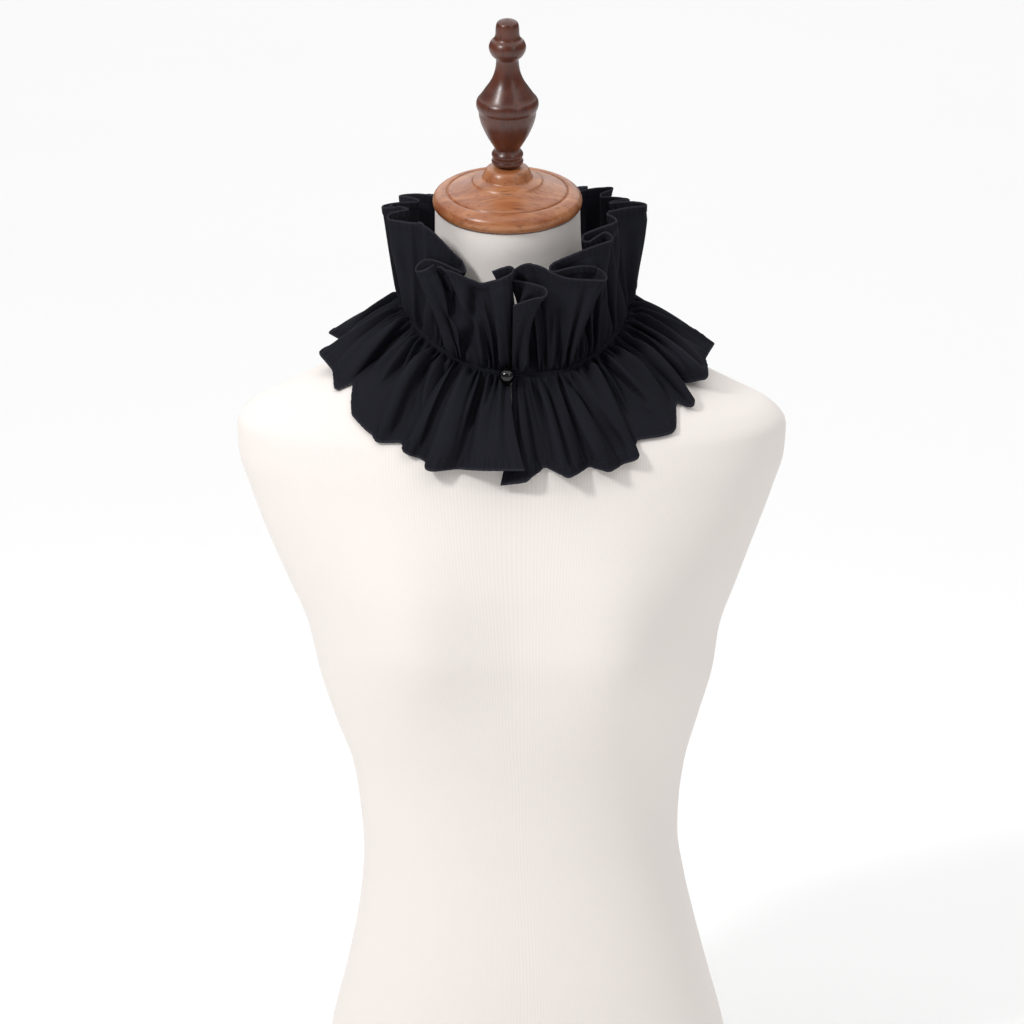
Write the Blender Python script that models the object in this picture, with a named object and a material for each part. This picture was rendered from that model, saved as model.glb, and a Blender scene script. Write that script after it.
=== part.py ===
"""A gathered ruff collar worn by a limbless dress form.

The collar is a standing frill and a falling frill sewn to a narrow neck band, closed at the front by a
ball button in a cord loop. The form is a covered torso, cut flat below the hips, with a turned wooden
neck cap and finial. Tables are in millimetres and the scene is in metres. +Z is up, the front faces -Y,
and the origin lies in the flat underside of the torso. Angles round the neck are turns in degrees from
the front, by -X, to the back and on.
"""

import math
from collections import namedtuple

import bpy
import numpy as np
from mathutils import Matrix, Vector
from mathutils.bvhtree import BVHTree

MM = 0.001
SEAM_GAP = 0.3

# Cloth
CLOTH_WALL = 1.0
CLEAR_OF_FORM = 2.5
CLEAR_AT_SEAM = 1.2
GATHER_COLUMNS = 4
GATHER_DEPTH = 1.0
GATHER_FADE = 0.4
GATHER_FADE_POWER = 1.5
EVEN_OVER_COLUMNS = 18
EVEN_RISE_OVER_COLUMNS = 4
EVEN_OUT_OVER_COLUMNS = 5
SHARPEN_POWER = 2.0
LEAST_STEP_SHARE = 0.5
LEVEL_SHARE = 0.5
DRIFT_POWER = 2.0
OPEN_POWER = 0.6
ARC_STEP = math.radians(9)
BEND_COST = 6.0
SLOPE_STEP = 0.002
TURN_MARGIN = 20
TURN_STEP = 0.25
UPWARD_HINT = np.array([0, 0, 0.3])

# Neck seam: how far it reaches to each side, half its depth, its middle, and how its height runs from
# front to back. It sits wider and lower on the right.
SEAM_LEFT_WIDTH = 73.0
SEAM_RIGHT_WIDTH = 80.0
SEAM_HALF_DEPTH = 69.5
SEAM_MIDDLE_Y = 2.0
SEAM_HEIGHT = 570.0
SEAM_FRONT_DROP = 17.0
SEAM_SIDE_RISE = 10.0
SEAM_RIGHT_DROP = 3.0
OPENING_TURN = 1.3

# Neck band
BAND_HEIGHT = 5.0
BAND_WALL = 1.4
BAND_COLUMNS = 96

# Standing frill
STANDING_HEIGHT = 71.0
STANDING_LEFT_WIDTH = 79.5
STANDING_RIGHT_WIDTH = 82.0
STANDING_HALF_DEPTH = 78.0
STANDING_BULGE = 1.5
STANDING_ENDS = (-4.0, 359.6)
MOUTH_TILT = 0.5
LAP_OUT = 2.2
LAP_SHARE = 0.06
FLAT_END_SHARE = 0.1
STANDING_COLUMNS = 284
STANDING_ROWS = (0.0, 0.12, 0.36, 0.68, 1.0)

# Falling frill
FALLING_LEFT_WIDTH = 122.0
FALLING_RIGHT_WIDTH = 130.0
FALLING_HALF_DEPTH = 105.0
FALLING_SQUARENESS = 2.5
FALLING_HEIGHT = 527.5
FALLING_FRONT_DROP = 22.5
FALLING_SIDE_RISE = 21.0
FALLING_CORNER_DROP = 14.0
FALLING_SPRING_OUT = 26.0
FALLING_SPRING_DOWN = 8.0
FRONT_SPRING_OUT = 16.0
FRONT_SPRING_DOWN = 14.0
FRONT_SPREAD = 15.0
FALLING_ENDS = (0.5, 359.5)
FALLING_COLUMNS = 264
FALLING_ROWS = (0.0, 0.12, 0.36, 0.68, 1.0)

# Each fold is a crest and the trough after it: the turn, how far the bend stands out from or in behind
# the frill's mean edge, the radius of the bend, and how much higher the cloth's edge is there. A frill
# starts at a turn, that far out and that much higher.
Fold = namedtuple(
    "Fold", "crest_at crest_out crest_bend crest_rise trough_at trough_in trough_bend trough_rise"
)
STANDING_START = (9.5, 0.0, 1.0)
STANDING_FOLDS = (
    Fold(3, 11, 5.5, -1, 17, 2, 6.0, -13),
    Fold(33, 5, 3.5, 6, 38.5, -1, 2.2, -2),
    Fold(43, 13, 6.0, -6, 29, 12, 4.0, -12),
    Fold(49, 0, 4.0, 15, 60, 5, 4.0, 2),
    Fold(73, 9, 4.5, 2, 79, 7, 3.5, -1),
    Fold(90, 10, 4.5, -4, 104, 13, 7.0, -6),
    Fold(119, 9, 6.0, -6, 129, 11, 4.0, -7),
    Fold(139, 10, 4.5, -7, 146, 12, 4.0, -7),
    Fold(154, 12, 5.0, -6, 162, 10, 4.5, -6),
    Fold(170, 9, 4.5, -6, 177, 12, 4.0, -6),
    Fold(185, 11, 5.0, -6, 193, 11, 4.5, -6),
    Fold(201, 12, 4.0, -4, 207, 9, 3.5, -4),
    Fold(214, 10, 4.5, 0, 221, 12, 4.0, -3),
    Fold(232, 7, 4.5, -1, 240, 10, 4.0, -6),
    Fold(251, 4, 4.0, -7, 257, 12, 4.0, -6),
    Fold(270, 11, 5.0, -2, 288, 13, 5.0, 3),
    Fold(300, 0, 5.0, 6, 315, 13, 4.5, 5),
    Fold(308, 4, 4.0, 6, 338, 8, 4.0, 0),
    Fold(318, 12, 5.0, -8, 344, -2, 2.5, -6),
    Fold(350, 1, 2.5, 17, 357, 3.6, 2.2, -10),
    Fold(346.5, 12, 2.5, -11, 359.3, -10, 0.0, -22),
)
FALLING_START = (-2.0, 7.5, -1)
FALLING_FOLDS = (
    Fold(5, 8, 8.0, -1, 13, 3, 6.0, 0),
    Fold(20, 8, 6.0, -3, 25.5, 5, 4.0, 3),
    Fold(30.5, 2, 4.0, 5, 35, 7, 3.5, 8),
    Fold(42, 4, 5.0, 2, 48, 2, 5.0, -2),
    Fold(57, 0, 6.0, -8, 68, 13, 4.0, -6),
    Fold(73, 4, 5.0, -11, 80, -3, 4.0, -6),
    Fold(87, 12, 6.0, -5, 96, 7, 4.5, 2),
    Fold(104, 10, 5.5, -1, 112.5, 7, 4.5, 2),
    Fold(121, 9, 5.5, -2, 129, 7, 4.5, 2),
    Fold(138, 10, 6.0, -2, 146, 6, 4.5, 2),
    Fold(154, 8, 5.5, -1, 162, 7, 4.5, 1),
    Fold(170, 9, 5.5, -2, 178, 7, 4.5, 2),
    Fold(186, 8, 5.5, -1, 194, 6, 4.5, 1),
    Fold(202, 10, 6.0, -2, 210.5, 7, 4.5, 2),
    Fold(219, 9, 5.5, -2, 227, 6, 4.5, 2),
    Fold(235, 9, 5.5, -1, 243, 7, 4.5, 2),
    Fold(251, 9, 5.5, -2, 259, 7, 4.5, 1),
    Fold(268, 12, 6.0, -4, 275, -5, 5.0, -4),
    Fold(284.5, 10, 5.0, -7, 290, 9, 3.5, 2),
    Fold(296.5, 8, 4.0, -7, 301, 6, 4.0, 1),
    Fold(309, 7, 6.0, -4, 321, 11, 4.0, 4),
    Fold(326.5, 8, 3.5, -2, 330.5, -2, 3.0, -2),
    Fold(336, 9, 4.0, -5, 341, 4, 3.5, 1),
    Fold(348, 9, 4.5, -7, 353.5, 6, 3.5, 3),
    Fold(357.5, 4, 4.0, -9, 361.7, 1, 0.0, -11),
)

# Torso cover, one row for each section: heights at the side, front and back, half the width, how far the
# section reaches to the front and the back, and how far its middle is shifted along X.
Section = namedtuple("Section", "side_z front_z back_z half_width front back shift")
FORM_SECTIONS = (
    Section(0, 0, 0, 148.5, 98.5, 117, 12),
    Section(25, 25, 25, 146, 99, 117, 12),
    Section(60, 60, 60, 140, 98.5, 113, 11.5),
    Section(100, 100, 100, 129.5, 96, 104, 11),
    Section(140, 140, 140, 120, 91.5, 91.5, 10),
    Section(170, 170, 170, 114.5, 88, 84, 8.5),
    Section(200, 200, 200, 111.5, 86, 80, 6.5),
    Section(225, 225, 225, 112.8, 86.5, 80, 5.5),
    Section(255, 255, 255, 117, 90, 83, 5),
    Section(290, 290, 290, 128, 98, 88, 3.5),
    Section(325, 325, 325, 138.5, 104, 94, 3),
    Section(355, 355, 355, 144, 109, 98, 2),
    Section(390, 390, 390, 157.5, 109, 100, 1),
    Section(425, 424, 425, 171.5, 105, 101.5, 0),
    Section(455, 452, 453, 182.5, 99.5, 102, 0),
    Section(480, 476, 478, 190, 95, 101, 0),
    Section(498, 492, 495, 191, 90.5, 99, 0),
    Section(510, 502, 508, 182, 86, 96.5, 0),
    Section(520, 511, 521, 162, 81.5, 93, 0),
    Section(531, 520, 535, 138, 77, 88.5, 0),
    Section(541, 529, 548, 113, 72.5, 83, 0),
    Section(550, 537, 560, 93, 68, 77, 0),
    Section(561, 546, 572, 76, 63.5, 70, -0.5),
    Section(573, 555, 585, 64.5, 59, 63, -1),
    Section(587, 567, 600, 57, 55, 55.5, -1.5),
    Section(604, 584, 618, 52.5, 52, 48, -2),
    Section(626, 608, 640, 50.5, 52.5, 41.5, -2.5),
    Section(648.3, 636.4, 660.2, 50, 56.9, 36.1, -2.8),
)
FORM_COLUMNS = 40
FORM_ROWS = 30
TORSO_SQUARENESS = 2.35
NECK_SQUARENESS = 2.0
SQUARE_BELOW_Z = 500.0
ROUND_ABOVE_Z = 560.0
BUST_APEX_X = 76.0
BUST_APEX_Z = 352.0
BUST_OUT = 17.0
BUST_SPREAD_X = 44.0
BUST_SPREAD_UP = 72.0
BUST_SPREAD_DOWN = 46.0
BUST_FRONT_POWER = 0.6

# Turned wood: radius and height above the cap's rim along an axis that leans to the front
CAP_CENTRE = (-2.8, -12.0, 654.4)
CAP_LEAN = 14.4
TURNED_COLUMNS = 32
CAP_PROFILE = (
    (0.0, -6.0),
    (48.5, -6.0),
    (51.2, -3.0),
    (51.6, 0.5),
    (50.2, 4.0),
    (46.0, 6.6),
    (42.5, 7.2),
    (41.5, 6.7),
    (40.4, 7.6),
    (33.0, 9.6),
    (26.0, 12.2),
    (24.2, 13.6),
    (23.4, 15.0),
    (19.0, 15.8),
    (17.3, 16.8),
    (16.7, 18.8),
    (15.2, 22.4),
    (12.6, 24.8),
    (0.0, 25.7),
)
FINIAL_PROFILE = (
    (0.0, 26.0),
    (9.6, 26.0),
    (11.3, 28.6),
    (9.9, 31.0),
    (11.2, 33.7),
    (9.6, 36.4),
    (8.3, 37.5),
    (10.2, 40.7),
    (13.5, 46.1),
    (16.1, 51.5),
    (18.3, 56.9),
    (19.6, 62.2),
    (19.7, 65.4),
    (21.0, 67.7),
    (21.5, 70.7),
    (20.6, 73.8),
    (18.4, 76.1),
    (15.2, 81.0),
    (11.6, 86.1),
    (9.3, 91.3),
    (8.0, 96.8),
    (7.5, 103.2),
    (10.6, 104.9),
    (13.2, 110.6),
    (11.4, 115.6),
    (8.2, 117.7),
    (8.0, 126.8),
    (6.2, 129.7),
    (0.0, 131.0),
)

# Button and loop
BUTTON_AT = (-3.2, 543.0)
BUTTON_RADIUS = 5.5
BUTTON_STANDS_OFF = 3.0
SHANK_RADIUS = 1.3
BUTTON_COLUMNS = 20
BALL_RINGS = 9
LOOP_CORD_RADIUS = 0.7
LOOP_REACH_RIGHT = 5.0
LOOP_ROOT_SPREAD = 0.95
LOOP_POINTS = 14
LOOP_HALF_MOUTH = math.radians(60)

# Paint for the viewport: colour, roughness and metallic value
BLACK_COTTON = ((0.012, 0.012, 0.016), 0.82, 0.0)
BLACK_GLOSS = ((0.01, 0.01, 0.012), 0.15, 0.0)
BLACK_CORD = ((0.01, 0.01, 0.012), 0.7, 0.0)
IVORY_COVER = ((0.82, 0.78, 0.74), 0.85, 0.0)
TURNED_WOOD = ((0.32, 0.13, 0.05), 0.4, 0.0)


def clear_scene():
    for obj in list(bpy.data.objects):
        bpy.data.objects.remove(obj, do_unlink=True)


def paint(name, finish):
    colour, roughness, metallic = finish
    material = bpy.data.materials.new(name)
    material.use_nodes = True
    shader = material.node_tree.nodes["Principled BSDF"]
    shader.inputs["Base Color"].default_value = (*colour, 1.0)
    shader.inputs["Roughness"].default_value = roughness
    shader.inputs["Metallic"].default_value = metallic
    return material


def add_mesh(name, points, faces, material):
    """One named object from points in millimetres."""
    mesh = bpy.data.meshes.new(name)
    mesh.from_pydata([tuple(p * MM for p in point) for point in points], [], faces)
    mesh.update()
    mesh.shade_smooth()
    mesh.set_sharp_from_angle(angle=math.radians(50))
    mesh.materials.append(material)
    obj = bpy.data.objects.new(name, mesh)
    bpy.context.scene.collection.objects.link(obj)
    return obj


def smooth_through(at, values, wanted):
    """Values at the wanted places on a curve through the given ones that never overshoots them."""
    at, values = np.asarray(at, float), np.asarray(values, float)
    step = np.diff(at)
    slope = np.diff(values) / step
    tangent = np.zeros(len(values))
    tangent[0], tangent[-1] = slope[0], slope[-1]
    both = slope[:-1] * slope[1:]
    weight_a, weight_b = 2 * step[1:] + step[:-1], step[1:] + 2 * step[:-1]
    steady = both > 0
    tangent[1:-1][steady] = (weight_a + weight_b)[steady] / (
        weight_a[steady] / slope[:-1][steady] + weight_b[steady] / slope[1:][steady]
    )
    i = np.clip(np.searchsorted(at, wanted) - 1, 0, len(step) - 1)
    t = (wanted - at[i]) / step[i]
    return (
        (1 + 2 * t) * (1 - t) ** 2 * values[i]
        + t * (1 - t) ** 2 * step[i] * tangent[i]
        + t * t * (3 - 2 * t) * values[i + 1]
        + t * t * (t - 1) * step[i] * tangent[i + 1]
    )


def form_rings(columns, rows):
    """Rings of points up the torso cover, front first, as an array of rows by columns by 3."""
    table = np.array(FORM_SECTIONS, float)
    along = np.concatenate([[0], np.cumsum(np.hypot(*np.diff(table[:, [0, 3]], axis=0).T))])
    wanted = np.linspace(0, along[-1], rows)
    side_z, front_z, back_z, half_width, front, back, shift = (
        smooth_through(along, column, wanted)[:, None] for column in table.T
    )
    turn = np.linspace(0, 2 * math.pi, columns, endpoint=False)[None, :]
    sine, cosine = np.sin(turn), np.cos(turn)
    roundness = np.clip((side_z - SQUARE_BELOW_Z) / (ROUND_ABOVE_Z - SQUARE_BELOW_Z), 0, 1)
    power = 2 / (TORSO_SQUARENESS + (NECK_SQUARENESS - TORSO_SQUARENESS) * roundness)
    x = -half_width * np.sign(sine) * np.abs(sine) ** power
    reach = np.where(cosine > 0, front, back)
    y = -reach * np.sign(cosine) * np.abs(cosine) ** power
    middle = (front_z + back_z) / 2
    z = middle - (back_z - front_z) / 2 * cosine + (side_z - middle) * sine**2
    spread_z = np.where(z > BUST_APEX_Z, BUST_SPREAD_UP, BUST_SPREAD_DOWN)
    rise = np.exp(-(((z - BUST_APEX_Z) / spread_z) ** 2))
    cups = np.exp(-(((np.abs(x) - BUST_APEX_X) / BUST_SPREAD_X) ** 2))
    y = y - BUST_OUT * rise * cups * np.clip(cosine, 0, 1) ** BUST_FRONT_POWER
    return np.stack([x + shift, y, z], axis=2)


def loft(rings):
    """Points and faces of a body lofted through closed rings, bottom first, with flat ends."""
    rows, columns = rings.shape[:2]
    faces = []
    for r in range(rows - 1):
        for c in range(columns):
            d = (c + 1) % columns
            faces.append((r * columns + c, (r + 1) * columns + c, (r + 1) * columns + d, r * columns + d))
    faces.append(tuple(range(columns)))
    faces.append(tuple(range(rows * columns - 1, (rows - 1) * columns - 1, -1)))
    return rings.reshape(-1, 3), faces


def turned(profile, columns):
    """Points and faces of a profile turned round its own axis, poles closed."""
    points, faces = [(0.0, 0.0, profile[0][1])], []
    for radius, height in profile[1:-1]:
        for c in range(columns):
            angle = 2 * math.pi * c / columns
            points.append((radius * math.cos(angle), radius * math.sin(angle), height))
    points.append((0.0, 0.0, profile[-1][1]))
    last = len(points) - 1
    rings = len(profile) - 2
    for c in range(columns):
        d = (c + 1) % columns
        faces.append((0, 1 + d, 1 + c))
        for r in range(rings - 1):
            low, high = 1 + r * columns, 1 + (r + 1) * columns
            faces.append((low + c, low + d, high + d, high + c))
        top = 1 + (rings - 1) * columns
        faces.append((top + c, top + d, last))
    return points, faces


def seam_height(turn):
    drop = SEAM_RIGHT_DROP * np.maximum(0, -np.sin(turn)) * (1 + np.cos(turn)) ** 2
    return SEAM_HEIGHT - SEAM_FRONT_DROP * np.cos(turn) - SEAM_SIDE_RISE * np.cos(2 * turn) - drop


def ring_point(turn, half_width, half_depth, height, squareness=2.0):
    across, along = (np.sign(f) * np.abs(f) ** (2 / squareness) for f in (np.sin(turn), np.cos(turn)))
    return np.stack([-half_width * across, SEAM_MIDDLE_Y - half_depth * along, height], axis=-1)


def seam_point(turn):
    width = np.where(np.sin(turn) > 0, SEAM_LEFT_WIDTH, SEAM_RIGHT_WIDTH)
    return ring_point(turn, width, SEAM_HALF_DEPTH, seam_height(turn))


def outward(turn):
    """Level direction away from the neck."""
    away = np.stack([-np.sin(turn), -np.cos(turn), 0 * turn], axis=-1)
    return away / np.linalg.norm(away, axis=-1, keepdims=True)


def standing_mean(turn, up):
    """The standing frill without its folds: up is 0 at the seam and 1 at the free edge."""
    foot = seam_point(turn) + np.array([0, 0, BAND_HEIGHT / 2 + SEAM_GAP])
    width = np.where(np.sin(turn) > 0, STANDING_LEFT_WIDTH, STANDING_RIGHT_WIDTH)
    edge = ring_point(turn, width, STANDING_HALF_DEPTH, foot[..., 2] + STANDING_HEIGHT)
    bulge = STANDING_BULGE * np.sin(math.pi * up)
    return foot + (edge - foot) * up + outward(turn) * bulge


def falling_mean(turn, down):
    """The falling frill without its folds: it springs out from the seam and then falls to the hem."""
    head = seam_point(turn) - np.array([0, 0, BAND_HEIGHT / 2 + SEAM_GAP])
    at_front = np.exp((np.cos(turn) - 1) / (1 - math.cos(math.radians(FRONT_SPREAD))))[..., None]
    spring_out = FALLING_SPRING_OUT + (FRONT_SPRING_OUT - FALLING_SPRING_OUT) * at_front
    spring_down = FALLING_SPRING_DOWN + (FRONT_SPRING_DOWN - FALLING_SPRING_DOWN) * at_front
    spring = head + outward(turn) * spring_out - np.array([0, 0, 1]) * spring_down
    height = FALLING_HEIGHT - FALLING_FRONT_DROP * np.cos(turn) - FALLING_SIDE_RISE * np.cos(2 * turn)
    height = height - FALLING_CORNER_DROP * np.sin(2 * turn) ** 2 * (1 + np.cos(turn)) / 2
    width = np.where(np.sin(turn) > 0, FALLING_LEFT_WIDTH, FALLING_RIGHT_WIDTH)
    hem = ring_point(turn, width, FALLING_HALF_DEPTH, height, FALLING_SQUARENESS)
    return head * (1 - down) ** 2 + spring * 2 * down * (1 - down) + hem * down**2


def frill_posts(start, folds, place):
    """The bends that the frill's edge winds round, alternately outside and inside the mean edge."""
    turn, out, rise = start
    posts = [(place(turn), out, 0.0, -1, rise)]
    for fold in folds:
        posts.append(
            (place(fold.crest_at), fold.crest_out - fold.crest_bend, fold.crest_bend, 1, fold.crest_rise)
        )
        posts.append(
            (place(fold.trough_at), fold.trough_bend - fold.trough_in, fold.trough_bend, -1, fold.trough_rise)
        )
    return posts


def wind_round(posts, tilt):
    """A smooth line round the posts, as arcs joined by straight lines, with each point's rise."""
    headings = []
    for (ax, ay, ar, side, _), (bx, by, br, _, _) in zip(posts, posts[1:]):
        far = math.hypot(bx - ax, by - ay)
        headings.append(math.atan2(by - ay, bx - ax) - side * math.asin(min(1, (ar + br) / far)))
    headings = [headings[0], *headings, headings[-1]]
    line = []
    for (x, y, radius, side, rise), into, out in zip(posts, headings, headings[1:]):
        steps = max(1, math.ceil(abs(out - into) / ARC_STEP))
        for k in range(steps + 1):
            heading = into + (out - into) * k / steps
            across, up = -side * math.sin(heading), side * math.cos(heading)
            behind = radius * (side - up)
            line.append((x + radius * across, y + radius * up, rise + tilt * behind))
    return np.array(line)


def columns_along(line, count):
    """That many points along a line, closer together where it bends."""
    length = np.hypot(*np.diff(line[:, :2], axis=0).T)
    line = line[np.concatenate([[True], length > 1e-6])]
    step = np.diff(line[:, :2], axis=0)
    heading = np.unwrap(np.arctan2(step[:, 1], step[:, 0]))
    bend = np.concatenate([[0], np.abs(np.diff(heading))])
    cost = np.concatenate([[0], np.cumsum(np.hypot(*step.T) + BEND_COST * bend)])
    wanted = np.linspace(0, cost[-1], count)
    return np.stack([np.interp(wanted, cost, values) for values in line.T], axis=1)


def evened(values, reach):
    """The same values with what changes over that many columns smoothed out."""
    before = 2 * values[0] - values[reach:0:-1]
    after = 2 * values[-1] - values[-2 : -reach - 2 : -1]
    weights = np.hanning(2 * reach + 3)[1:-1]
    return np.convolve(np.concatenate([before, values, after]), weights / weights.sum(), "valid")


def frill_grid(mean, start, folds, ends, columns, rows, tilt=0.0, lap_out=0.0, fabric_height=None):
    """The middle of the cloth, as an array of columns by rows by 3. Its ends are turns at the seam."""
    fine_turn = np.radians(np.arange(-TURN_MARGIN, 360 + TURN_MARGIN, TURN_STEP))
    edge = mean(fine_turn, 1.0)
    travel = np.concatenate([[0], np.cumsum(np.linalg.norm(np.diff(edge, axis=0), axis=1))])

    def place(degrees):
        return float(np.interp(math.radians(degrees), fine_turn, travel))

    line = columns_along(wind_round(frill_posts(start, folds, place), tilt), columns)
    edge_turn = np.interp(line[:, 0], travel, fine_turn)
    steps = np.diff(evened(edge_turn, EVEN_OVER_COLUMNS))
    steps = np.maximum(steps, LEAST_STEP_SHARE * steps.mean())
    seam_turn = np.concatenate([[0], np.cumsum(steps)])
    seam_turn = np.interp(seam_turn, (0, seam_turn[-1]), np.radians(ends))
    out_near_seam = evened(line[:, 1], EVEN_OUT_OVER_COLUMNS)
    rise = evened(line[:, 2], EVEN_RISE_OVER_COLUMNS)
    share = np.linspace(0, 1, columns)
    lap = lap_out * np.clip(1 - (1 - share) / LAP_SHARE, 0, 1)
    gathered = np.clip(np.minimum(share, 1 - share) / FLAT_END_SHARE, 0, 1) ** 2
    gather = gathered * np.sin(2 * math.pi * np.arange(columns) / GATHER_COLUMNS)
    grid = np.zeros((columns, len(rows), 3))
    for r, v in enumerate(rows):
        turn = seam_turn + (edge_turn - seam_turn) * v**DRIFT_POWER
        along = mean(turn + SLOPE_STEP, v) - mean(turn - SLOPE_STEP, v)
        down = mean(turn, v + SLOPE_STEP) - mean(turn, v - SLOPE_STEP)
        normal = np.cross(along, down)
        normal /= np.linalg.norm(normal, axis=1, keepdims=True)
        normal *= np.sign((normal * (outward(turn) + UPWARD_HINT)).sum(axis=1, keepdims=True))
        near_seam = max(0.0, 1 - v / GATHER_FADE)
        normal += (outward(turn) - normal) * max(near_seam, LEVEL_SHARE)
        normal /= np.linalg.norm(normal, axis=1, keepdims=True)
        fade = near_seam**GATHER_FADE_POWER
        out = out_near_seam + (line[:, 1] - out_near_seam) * v**SHARPEN_POWER
        offset = out * v**OPEN_POWER + GATHER_DEPTH * gather * fade + lap * (1 - v)
        grid[:, r] = mean(turn, v) + normal * offset[:, None]
    if fabric_height:
        lean = np.linalg.norm((grid[:, -1] - grid[:, 0])[:, :2], axis=1)
        height = np.sqrt(np.maximum(fabric_height**2 - lean**2, 0))
        grid[:, :, 2] = grid[:, :1, 2] + height[:, None] * np.array(rows)
    grid[:, :, 2] += rise[:, None] * np.array(rows)
    return grid


def keep_clear(grid, tree, clearance):
    """Moves cloth points out until they are that far from the form."""
    for c in range(grid.shape[0]):
        for r in range(grid.shape[1]):
            wanted = clearance if r else CLEAR_AT_SEAM
            point = Vector(grid[c, r])
            place, normal, _, _ = tree.find_nearest(point)
            depth = (point - place).dot(normal)
            if depth < wanted:
                away = normal if r else Vector((normal.x, normal.y, 0)).normalized()
                grid[c, r] = point + away * (wanted - depth)
    return grid


def wall(grid, thickness):
    """Points and faces of a closed wall of that thickness round a grid of points."""
    columns, rows = grid.shape[:2]
    along = np.gradient(grid, axis=0)
    across = np.gradient(grid, axis=1)
    normal = np.cross(along, across)
    normal[:, 0, 2] = 0
    normal /= np.linalg.norm(normal, axis=2, keepdims=True)
    sides = [grid + normal * thickness / 2, grid - normal * thickness / 2]
    points = np.concatenate([side.reshape(-1, 3) for side in sides])
    half = columns * rows
    faces = []
    for c in range(columns - 1):
        for r in range(rows - 1):
            a, b = c * rows + r, (c + 1) * rows + r
            faces.append((a, b, b + 1, a + 1))
            faces.append((half + a, half + a + 1, half + b + 1, half + b))
    for c in range(columns - 1):
        for r, turned_round in ((0, False), (rows - 1, True)):
            a, b = c * rows + r, (c + 1) * rows + r
            face = (a, half + a, half + b, b)
            faces.append(face[::-1] if turned_round else face)
    for r in range(rows - 1):
        for c, turned_round in ((0, True), (columns - 1, False)):
            a = c * rows + r
            face = (a, half + a, half + a + 1, a + 1)
            faces.append(face[::-1] if turned_round else face)
    return points, faces


def face_out(obj):
    """Turns a closed mesh right way round if its volume comes out negative."""
    mesh = obj.data
    mesh.calc_loop_triangles()
    volume = 0.0
    for triangle in mesh.loop_triangles:
        a, b, c = (mesh.vertices[i].co for i in triangle.vertices)
        volume += a.dot(b.cross(c))
    if volume < 0:
        mesh.flip_normals()


def build_form(cover, wood):
    points, faces = loft(form_rings(FORM_COLUMNS, FORM_ROWS))
    torso = add_mesh("form_torso", points, faces, cover)
    face_out(torso)
    place = Matrix.Translation(Vector(CAP_CENTRE) * MM) @ Matrix.Rotation(math.radians(CAP_LEAN), 4, "X")
    for name, profile in (("form_neck_cap", CAP_PROFILE), ("form_finial", FINIAL_PROFILE)):
        points, faces = turned(profile, TURNED_COLUMNS)
        piece = add_mesh(name, points, faces, wood)
        face_out(piece)
        piece.matrix_world = place
    triangles = [tuple(v.co / MM) for v in torso.data.vertices]
    return BVHTree.FromPolygons(triangles, [tuple(p.vertices) for p in torso.data.polygons])


def build_frills(cloth, tree):
    standing = frill_grid(
        standing_mean,
        STANDING_START,
        STANDING_FOLDS,
        STANDING_ENDS,
        STANDING_COLUMNS,
        STANDING_ROWS,
        MOUTH_TILT,
        LAP_OUT,
        STANDING_HEIGHT,
    )
    falling = frill_grid(
        falling_mean, FALLING_START, FALLING_FOLDS, FALLING_ENDS, FALLING_COLUMNS, FALLING_ROWS
    )
    for name, grid in (("standing_frill", standing), ("falling_frill", falling)):
        grid = keep_clear(grid, tree, CLEAR_OF_FORM)
        points, faces = wall(grid, CLOTH_WALL)
        face_out(add_mesh(name, points, faces, cloth))


def build_band(cloth, tree):
    turn = np.radians(np.linspace(OPENING_TURN, 360 - OPENING_TURN, BAND_COLUMNS))
    middle = seam_point(turn)
    half = np.array([0, 0, BAND_HEIGHT / 2])
    grid = keep_clear(np.stack([middle - half, middle + half], axis=1), tree, CLEAR_AT_SEAM)
    points, faces = wall(grid, BAND_WALL)
    face_out(add_mesh("neck_band", points, faces, cloth))


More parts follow.
